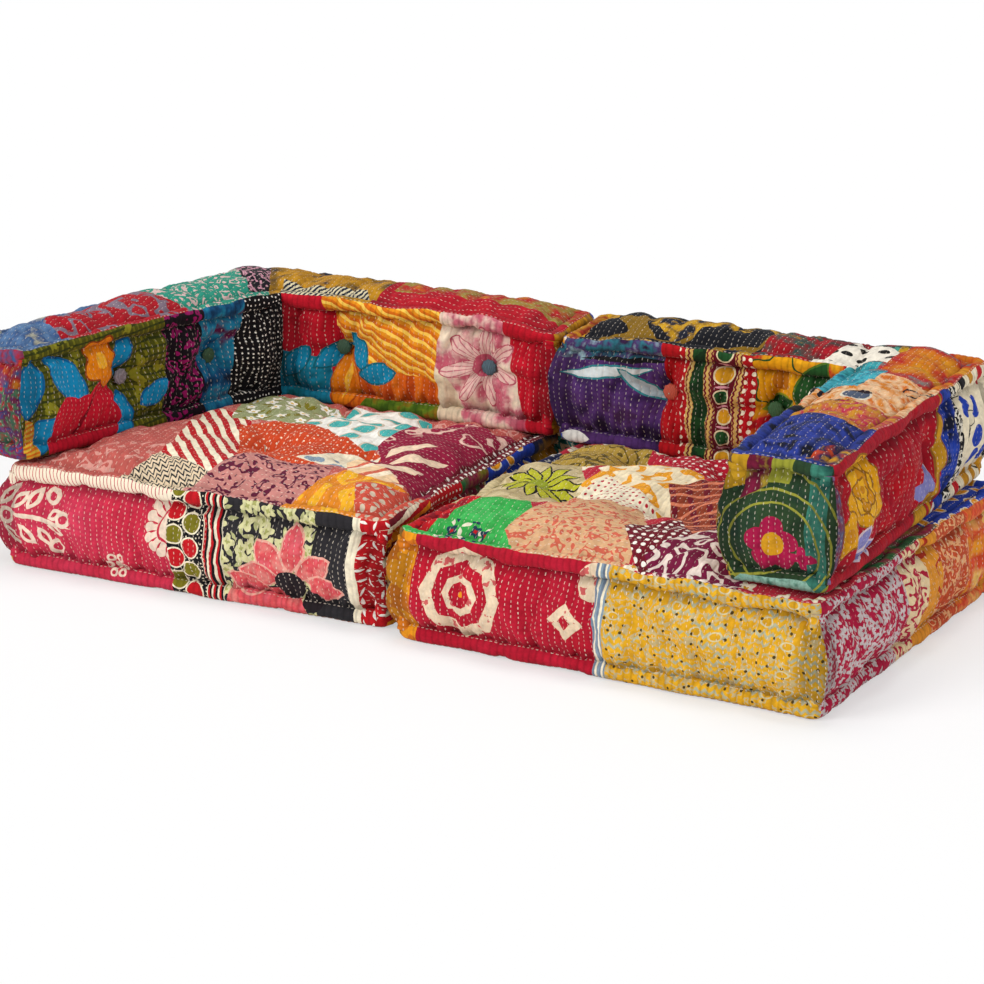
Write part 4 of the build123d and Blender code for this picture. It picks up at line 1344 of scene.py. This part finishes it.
@drawn(strength=0.36)
def right_bolster_top(c):
    c.color = c.scroll(0.16, "121319", "80601a", 0.22, 0.9, 4.0)
    buds = c.painted(0.03, ("14161f", "1c2030", "b88a18", "c99a20"), 2.2)
    c.color = c.mix(c.noise(c.x, c.y, 0.12, 3.0) > 0.55, c.color, buds)
    c.flower(0.028, 0.8, 0.035, "b8881c", "6a4a14", 8, black, 0.14)
    c.strip(-0.05, 0.012, c.painted(0.05, ("b8861a", "8a1a1c", "c99a1c"), 1.0))
    c.patch((38, 60, 50, 60, 54, 92, 42, 92),
            c.painted(0.04, ("a0141c", "8a101a", "1f4a44", "b06a1c"), 0.3))
    c.patch((50, 70, 66, 70, 66, 92, 53, 92),
            c.painted(0.05, ("a81420", "7a1420", "1f3a34", "4a9a88"), 0.8))
    spots = c.cells(0.034, 0.3, 0.7)
    spotted = c.mix(c.reach(spots[0], spots[1] * 1.7) < 0.0115, "e2dacb", "14120f")
    c.patch((50.5, 68, 68, 62, 69, 76, 56, 82), spotted)
    c.patch((50, 53, 69, 53, 69, 68, 50, 68), c.painted(0.04, ("0f4a50", "3aa0a8", "1a6a78"), 0.3))
    c.patch((66, 56, 82, 56, 86, 92, 68, 92),
            c.painted(0.07, ("c98a1c", "c06a14", "a81c20", "2f8a84"), 0.4))
    tree = c.painted(0.025, ("c9761c", "dcb890", "c86a24"), 1.4, 2.0)
    branch = c.scroll(0.1, tree, "221820", 0.09, 2.5, 3.0)
    c.patch((60, 38, 86, 38, 86, 60, 62, 60), branch)
    c.patch((60, 50, 70, 47, 70, 62, 60, 62), c.painted(0.03, ("0f5a64", "45aab8", "1a6a80"), 0.9))
    c.disc(0.72, 0.415, 0.03, "d8cdb8", 0.7, 1.0)
    c.disc(0.72, 0.415, 0.025, "4a5468", 0.7, 1.0)
    c.patch((60, 0, 90, 0, 90, 34.5, 60, 33),
            c.painted(0.035, ("0f1018", "24306e", "2c3c90", "14162a"), 0.5), upright)
    c.patch((66, 25, 86, 28, 86, 39, 66, 37),
            c.painted(0.04, ("b8841c", "a81c48", "c08a24", "9a1c3c"), 1.2))
    c.patch((78, 5, 90, 5, 90, 20, 80, 16), c.painted(0.03, ("c08a1c", "14204a", "b8401c"), 1.8))


# The sheets that the photograph shows: a cushion's sides are numbered from the inner line's start
sheets_shown = {
    "left_seat": {0: left_seat_front, 4: left_seat_top},
    "right_seat": {0: right_seat_front, 1: right_seat_right, 4: right_seat_top},
    "left_bolster": {3: left_arm_end, 4: left_arm_inner, 5: left_back_front, 6: left_bolster_top},
    "right_bolster": {0: right_arm_end, 1: right_arm_outer, 4: right_back_front, 6: right_bolster_top}}


def cloth_set(cushion):
    """Cloths of a cushion by sheet: its sides in order, its top and its base."""
    shown = sheets_shown[cushion.name]
    first = int(cushion.seed * 1.3)
    return [shown[sheet]() if sheet in shown else spare_cloths[(sheet + first) % len(spare_cloths)]
            for sheet in range(cushion.count + 1)] + [base_cotton]


# Small pieces at the tufts

def mesh_points(mesh):
    points = np.empty(len(mesh.vertices) * 3)
    mesh.vertices.foreach_get("co", points)
    return points.reshape(-1, 3)


def nearest_place(body, target, out):
    """The point of a body's mesh nearest to a line through the target along out."""
    points = mesh_points(body.data)
    gaps = points - np.array(target)
    off = gaps @ np.array(out)
    reach = np.linalg.norm(gaps - off[:, None] * np.array(out), axis=1)
    reach[np.abs(off) > 0.06] = 9.0
    return Vector(points[np.argmin(reach)])


def turned_frame(place, out, spin):
    """Matrix that stands a small piece on a surface, its own Z along out."""
    z = Vector(out).normalized()
    x = z.orthogonal().normalized()
    turn = Matrix((x, z.cross(x), z)).transposed().to_4x4()
    return Matrix.Translation(place) @ turn @ Matrix.Rotation(spin, 4, "Z")


def button_mesh(name, radius, height, pleats, gather):
    """A round cloth-covered button or knot, its cloth gathered in pleats."""
    rings, segments = 9, pleats * 4
    vertices, faces = [(0, 0, height)], []
    for ring in range(1, rings + 1):
        share = ring / rings
        angle = share * math.pi * 0.62
        for segment in range(segments):
            turn = 2 * math.pi * segment / segments
            r = radius * math.sin(angle) * (1 + gather * share * math.cos(turn * pleats))
            z = height * (math.cos(angle) * 0.62 + 0.38)
            vertices.append((r * math.cos(turn), r * math.sin(turn), z))
    for segment in range(segments):
        following = (segment + 1) % segments
        faces.append((0, 1 + segment, 1 + following))
        for ring in range(rings - 1):
            a, b = 1 + ring * segments, 1 + (ring + 1) * segments
            faces.append((a + segment, b + segment, b + following, a + following))
    faces.append(tuple(range(len(vertices) - 1, len(vertices) - segments - 1, -1)))
    mesh = bpy.data.meshes.new(name)
    mesh.from_pydata(vertices, [], faces)
    return mesh


def thread_material(name, color, scale=260, distortion=2.0):
    """Twisted cotton twine, darker in the grooves of its twist as painted shade. With a lower scale and
    more distortion, cotton gathered over a button, darker in its folds as painted shade.
    """
    nodes = Nodes(bpy.data.materials.new(name))
    place = nodes.node("TexCoord", output="Object")
    twist = nodes.node("TexWave", {"Vector": place, "Scale": scale, "Distortion": distortion})
    bright = rgb(color)
    # Painted shade: the cord is darker where the twist's bump is low
    dark = tuple(v * 0.6 for v in bright[:3]) + (1.0,)
    nodes.node("OutputMaterial", (nodes.node("BsdfPrincipled", {
        "Roughness": 0.75, "Base Color": nodes.mix(twist, dark, bright),
        "Normal": nodes.node("Bump", {"Distance": 0.0006, "Height": twist})}),))
    return nodes.owner


def tuft_pieces(cushion, name, mesh, points, materials, rise, spin):
    """Copies of a small mesh on a cushion's cover at its tufts, each with the next of the materials."""
    vertices, faces, picks = [], [], []
    for number, point in enumerate(points):
        out = cushion.tuft_out(point)
        place = nearest_place(cushion.cover, point, out) + Vector(out) * rise
        matrix = turned_frame(place, out, number * spin)
        start = len(vertices)
        vertices += [tuple(matrix @ v.co) for v in mesh.vertices]
        faces += [tuple(start + v for v in polygon.vertices) for polygon in mesh.polygons]
        picks += [number % len(materials)] * len(mesh.polygons)
    joined = bpy.data.meshes.new(name)
    joined.from_pydata(vertices, [], faces)
    for material in materials:
        joined.materials.append(material)
    for polygon, pick in zip(joined.polygons, picks):
        polygon.material_index = pick
        polygon.use_smooth = True
    return add_object(name, joined)


def settle(cushion):
    """Wrinkles the cover over its stuffing: a cloth simulation held at its rims and tufts."""
    mesh = cushion.cover.data
    before = mesh_points(mesh)
    plan = np.array([cushion.module.local(point) for point in before])
    height = plan[:, 2]
    half = (cushion.top - cushion.bottom) / 2 - free_margin
    rim = cushion.rim_distance(plan[:, :2], sheet_inset) < held_rim
    held = rim & (np.abs(height - (cushion.bottom + cushion.top) / 2) >= half)
    held |= height < cushion.bottom + held_below
    if cushion.kind == "seat":
        under_bolster = np.min(before_bolster(cushion, plan[:, :2]), axis=0) < 0.005
        held |= under_bolster & (height > cushion.top - 0.04)
    for tuft in cushion.all_tufts():
        held |= np.linalg.norm(plan - tuft, axis=1) < held_round_tuft
    group = cushion.cover.vertex_groups.new(name="held")
    group.add(np.nonzero(held)[0].tolist(), 1.0, "REPLACE")
    modifier = cushion.cover.modifiers.new("cloth", "CLOTH")
    modifier.collision_settings.use_collision = False
    cloth = modifier.settings
    cloth.vertex_group_mass = "held"
    cloth.quality = 4
    cloth.mass = 0.25
    cloth.tension_stiffness = cloth.compression_stiffness = 12
    cloth.shear_stiffness = 6
    cloth.bending_stiffness = 0.15
    cloth.shrink_min = -0.065
    cloth.use_pressure = True
    cloth.uniform_pressure_force = 4
    cloth.effector_weights.gravity = 0
    for number in range(1, settling_frames + 1):
        bpy.context.scene.frame_set(number)
    settled = cushion.cover.evaluated_get(bpy.context.evaluated_depsgraph_get()).data
    move = mesh_points(settled) - before
    length = np.linalg.norm(move, axis=1)[:, None]
    move *= settling_reach * np.tanh(length / settling_reach) / np.maximum(length, 1e-9)
    cushion.cover.modifiers.remove(modifier)
    mesh.vertices.foreach_set("co", (before + move).ravel())
    mesh.update()
    bpy.context.scene.frame_set(1)


# Putting the cushions together

def stands_for(piece, body, slot, *nodes):
    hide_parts(*nodes)
    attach(piece, body)


def dress(cushion):
    """The cover, the rolled edges and the corner rolls of a cushion."""
    name = cushion.name
    cloths = cloth_set(cushion)
    cushion.cover = build_body(cushion, cloths)
    top_roll = build_roll(cushion, cushion.top - roll_radius, True, cloths)
    base_roll = build_roll(cushion, cushion.bottom + roll_radius, False, cloths)
    posts = build_posts(cushion, cloths)
    settle(cushion)
    stands_for(cushion.cover, name, f"{cushion.kind}_cover",
               f"{name}_top_panel", f"{name}_border", f"{name}_base_panel", f"{name}_filling")
    stands_for(top_roll, name, "rolled_edge", f"{name}_top_roll")
    stands_for(base_roll, name, "rolled_edge", f"{name}_base_roll")
    stands_for(posts, name, "rolled_edge", f"{name}_corner_rolls")


seat_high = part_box("right_seat_top_roll")[1][2]
bolster_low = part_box("right_bolster_base_roll")[0][2]
bolster_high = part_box("right_bolster_top_roll")[1][2]

modules = (
    Module("left", 3.0, arm_splay=10.0, arm_front=0.165, arm_rear=0.238, back_length=0.83,
           inset=0.048, overhang=0.003, bolster_turn=0.5),
    Module("right", 0.0, arm_splay=1.8, arm_front=0.195, arm_rear=0.245, back_length=0.832,
           inset=0.05, overhang=0.025, bolster_turn=1.0))

button_colors = {"left": ("2a4a2c", "8a8288", "2f4f38", "4a6470"),
                 "right": ("8a2a3a", "2a4a6a", "2f5a30", "c8523a")}
# Loose corners of the bolsters that droop: place, drop and reach
droops = {"left": [((-0.109, 0.027), 0.016, 0.16), ((0.876, 0.70), 0.016, 0.13)],
          "right": [((-0.028, 0.70), 0.016, 0.13)]}

base_cotton = base_cloth()
spare_cloths = [spare_cloth(number) for number in range(8)]

for module in modules:
    side = module.side
    knots = small_parts(f"{side}_seat_tuft_knots")
    buttons = small_parts(f"{side}_bolster_tuft_buttons")
    ties = small_parts(f"{side}_bolster_tuft_ties")
    thread = thread_material(f"{side}_twine", "d8ccb0")
    ends = [module.local(point) for point in knots]
    seat = Cushion(module, "seat", np.array(((0, 0), (0, module.depth))),
                   np.array(((module_width, 0), (module_width, module.depth))), 0.0, seat_high,
                   top_tufts=[point for point in ends if point[2] > 0.1],
                   base_tufts=[point for point in ends if point[2] < 0.1])
    bolster = Cushion(module, "bolster", module.bolster_inner, module.bolster_outer,
                      bolster_low, bolster_high, droops=droops[side],
                      side_tufts=[(module.local(point), button_tuft) for point in buttons]
                      + [(module.local(point), tie_tuft) for point in ties])
    dress(seat)
    dress(bolster)

    knot = button_mesh("knot", radius=0.007, height=0.006, pleats=5, gather=0.12)
    button = button_mesh("button", radius=0.0165, height=0.010, pleats=9, gather=0.07)
    seat_knots = tuft_pieces(seat, f"{side}_seat_knots", knot, knots, [thread], rise=0, spin=1.1)
    stands_for(seat_knots, f"{side}_seat", "tuft_thread", f"{side}_seat_tuft_knots")
    button_cloths = [thread_material(f"{side}_button_{number}", color, scale=90, distortion=9.0)
                     for number, color in enumerate(button_colors[side])]
    covered = tuft_pieces(bolster, f"{side}_bolster_tuft_buttons_cloth", button, buttons,
                          button_cloths, rise=0.007, spin=0.9)
    stands_for(covered, f"{side}_bolster", "button_cloth", f"{side}_bolster_tuft_buttons")
    tied = tuft_pieces(bolster, f"{side}_bolster_tuft_ties_cloth", knot, ties, [thread],
                       rise=0.004, spin=0.9)
    stands_for(tied, f"{side}_bolster", "tuft_thread", f"{side}_bolster_tuft_ties")

    for name in (f"{side}_seat_tuft_twine", f"{side}_bolster_tuft_twine"):
        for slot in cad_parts[name].material_slots:
            slot.material = thread


# Floor, light and camera

def background_share(nodes):
    """1 for the rays that show the background: the camera's, and those that gloss and glass send on."""
    rays = seen = nodes.node("LightPath", output="Is Camera Ray")
    for kind in ("Is Glossy Ray", "Is Transmission Ray"):
        seen = nodes.math("MAXIMUM", seen, nodes.other(rays, kind))
    return seen


def build_floor():
    """Plain white floor: white to the camera where nothing shades it."""
    bpy.ops.mesh.primitive_plane_add(size=160, location=(0, 0, -0.0004))
    floor = bpy.context.object
    floor.name = "floor"
    nodes = Nodes(bpy.data.materials.new("floor"))
    matte = nodes.node("BsdfDiffuse", {"Color": (0.9, 0.9, 0.9, 1)})
    glow = nodes.node("Emission", {"Color": (1, 1, 1, 1)})
    mixed = nodes.node("MixShader", (background_share(nodes) * 0.5, matte, glow))
    nodes.node("OutputMaterial", (mixed,))
    floor.data.materials.append(nodes.owner)
    return floor


def build_world():
    """White to the camera, and a soft even light on the object."""
    nodes = Nodes(bpy.data.worlds.new("studio"))
    soft = nodes.node("Background", {"Color": (1, 1, 1, 1), "Strength": 0.42})
    plain = nodes.node("Background", {"Color": (1, 1, 1, 1)})
    mixed = nodes.node("MixShader", (background_share(nodes), soft, plain))
    nodes.node("OutputWorld", (mixed,))
    bpy.context.scene.world = nodes.owner


def add_sun(name, direction, spread, strength):
    data = bpy.data.lights.new(name, "SUN")
    data.angle = math.radians(spread)
    data.energy = strength
    lamp = add_object(name, data)
    lamp.rotation_euler = Vector(direction).to_track_quat("-Z", "Y").to_euler()


def build_camera():
    yaw, pitch, roll = camera_yaw, camera_pitch, camera_roll
    forward = Vector((-math.sin(yaw) * math.cos(pitch), math.cos(yaw) * math.cos(pitch),
                      -math.sin(pitch)))
    level_right = Vector((math.cos(yaw), math.sin(yaw), 0))
    level_up = level_right.cross(forward)
    across = level_right * math.cos(roll) + level_up * math.sin(roll)
    up = level_up * math.cos(roll) - level_right * math.sin(roll)
    data = bpy.data.cameras.new("camera")
    data.lens = camera_lens
    data.sensor_width = sensor_width
    data.clip_end = 200
    camera = add_object("camera", data)
    turn = Matrix((across, up, -forward)).transposed().to_4x4()
    camera.matrix_world = Matrix.Translation(camera_place) @ turn
    bpy.context.scene.camera = camera


build_floor()
build_world()
add_sun("top", (0.10, -0.12, -1.0), 30, 1.15)
add_sun("front", (0.50, 0.85, -0.45), 30, 1.85)
add_sun("side", (-0.95, 0.30, -0.35), 35, 0.85)
build_camera()
bpy.context.scene.view_settings.view_transform = "Standard"
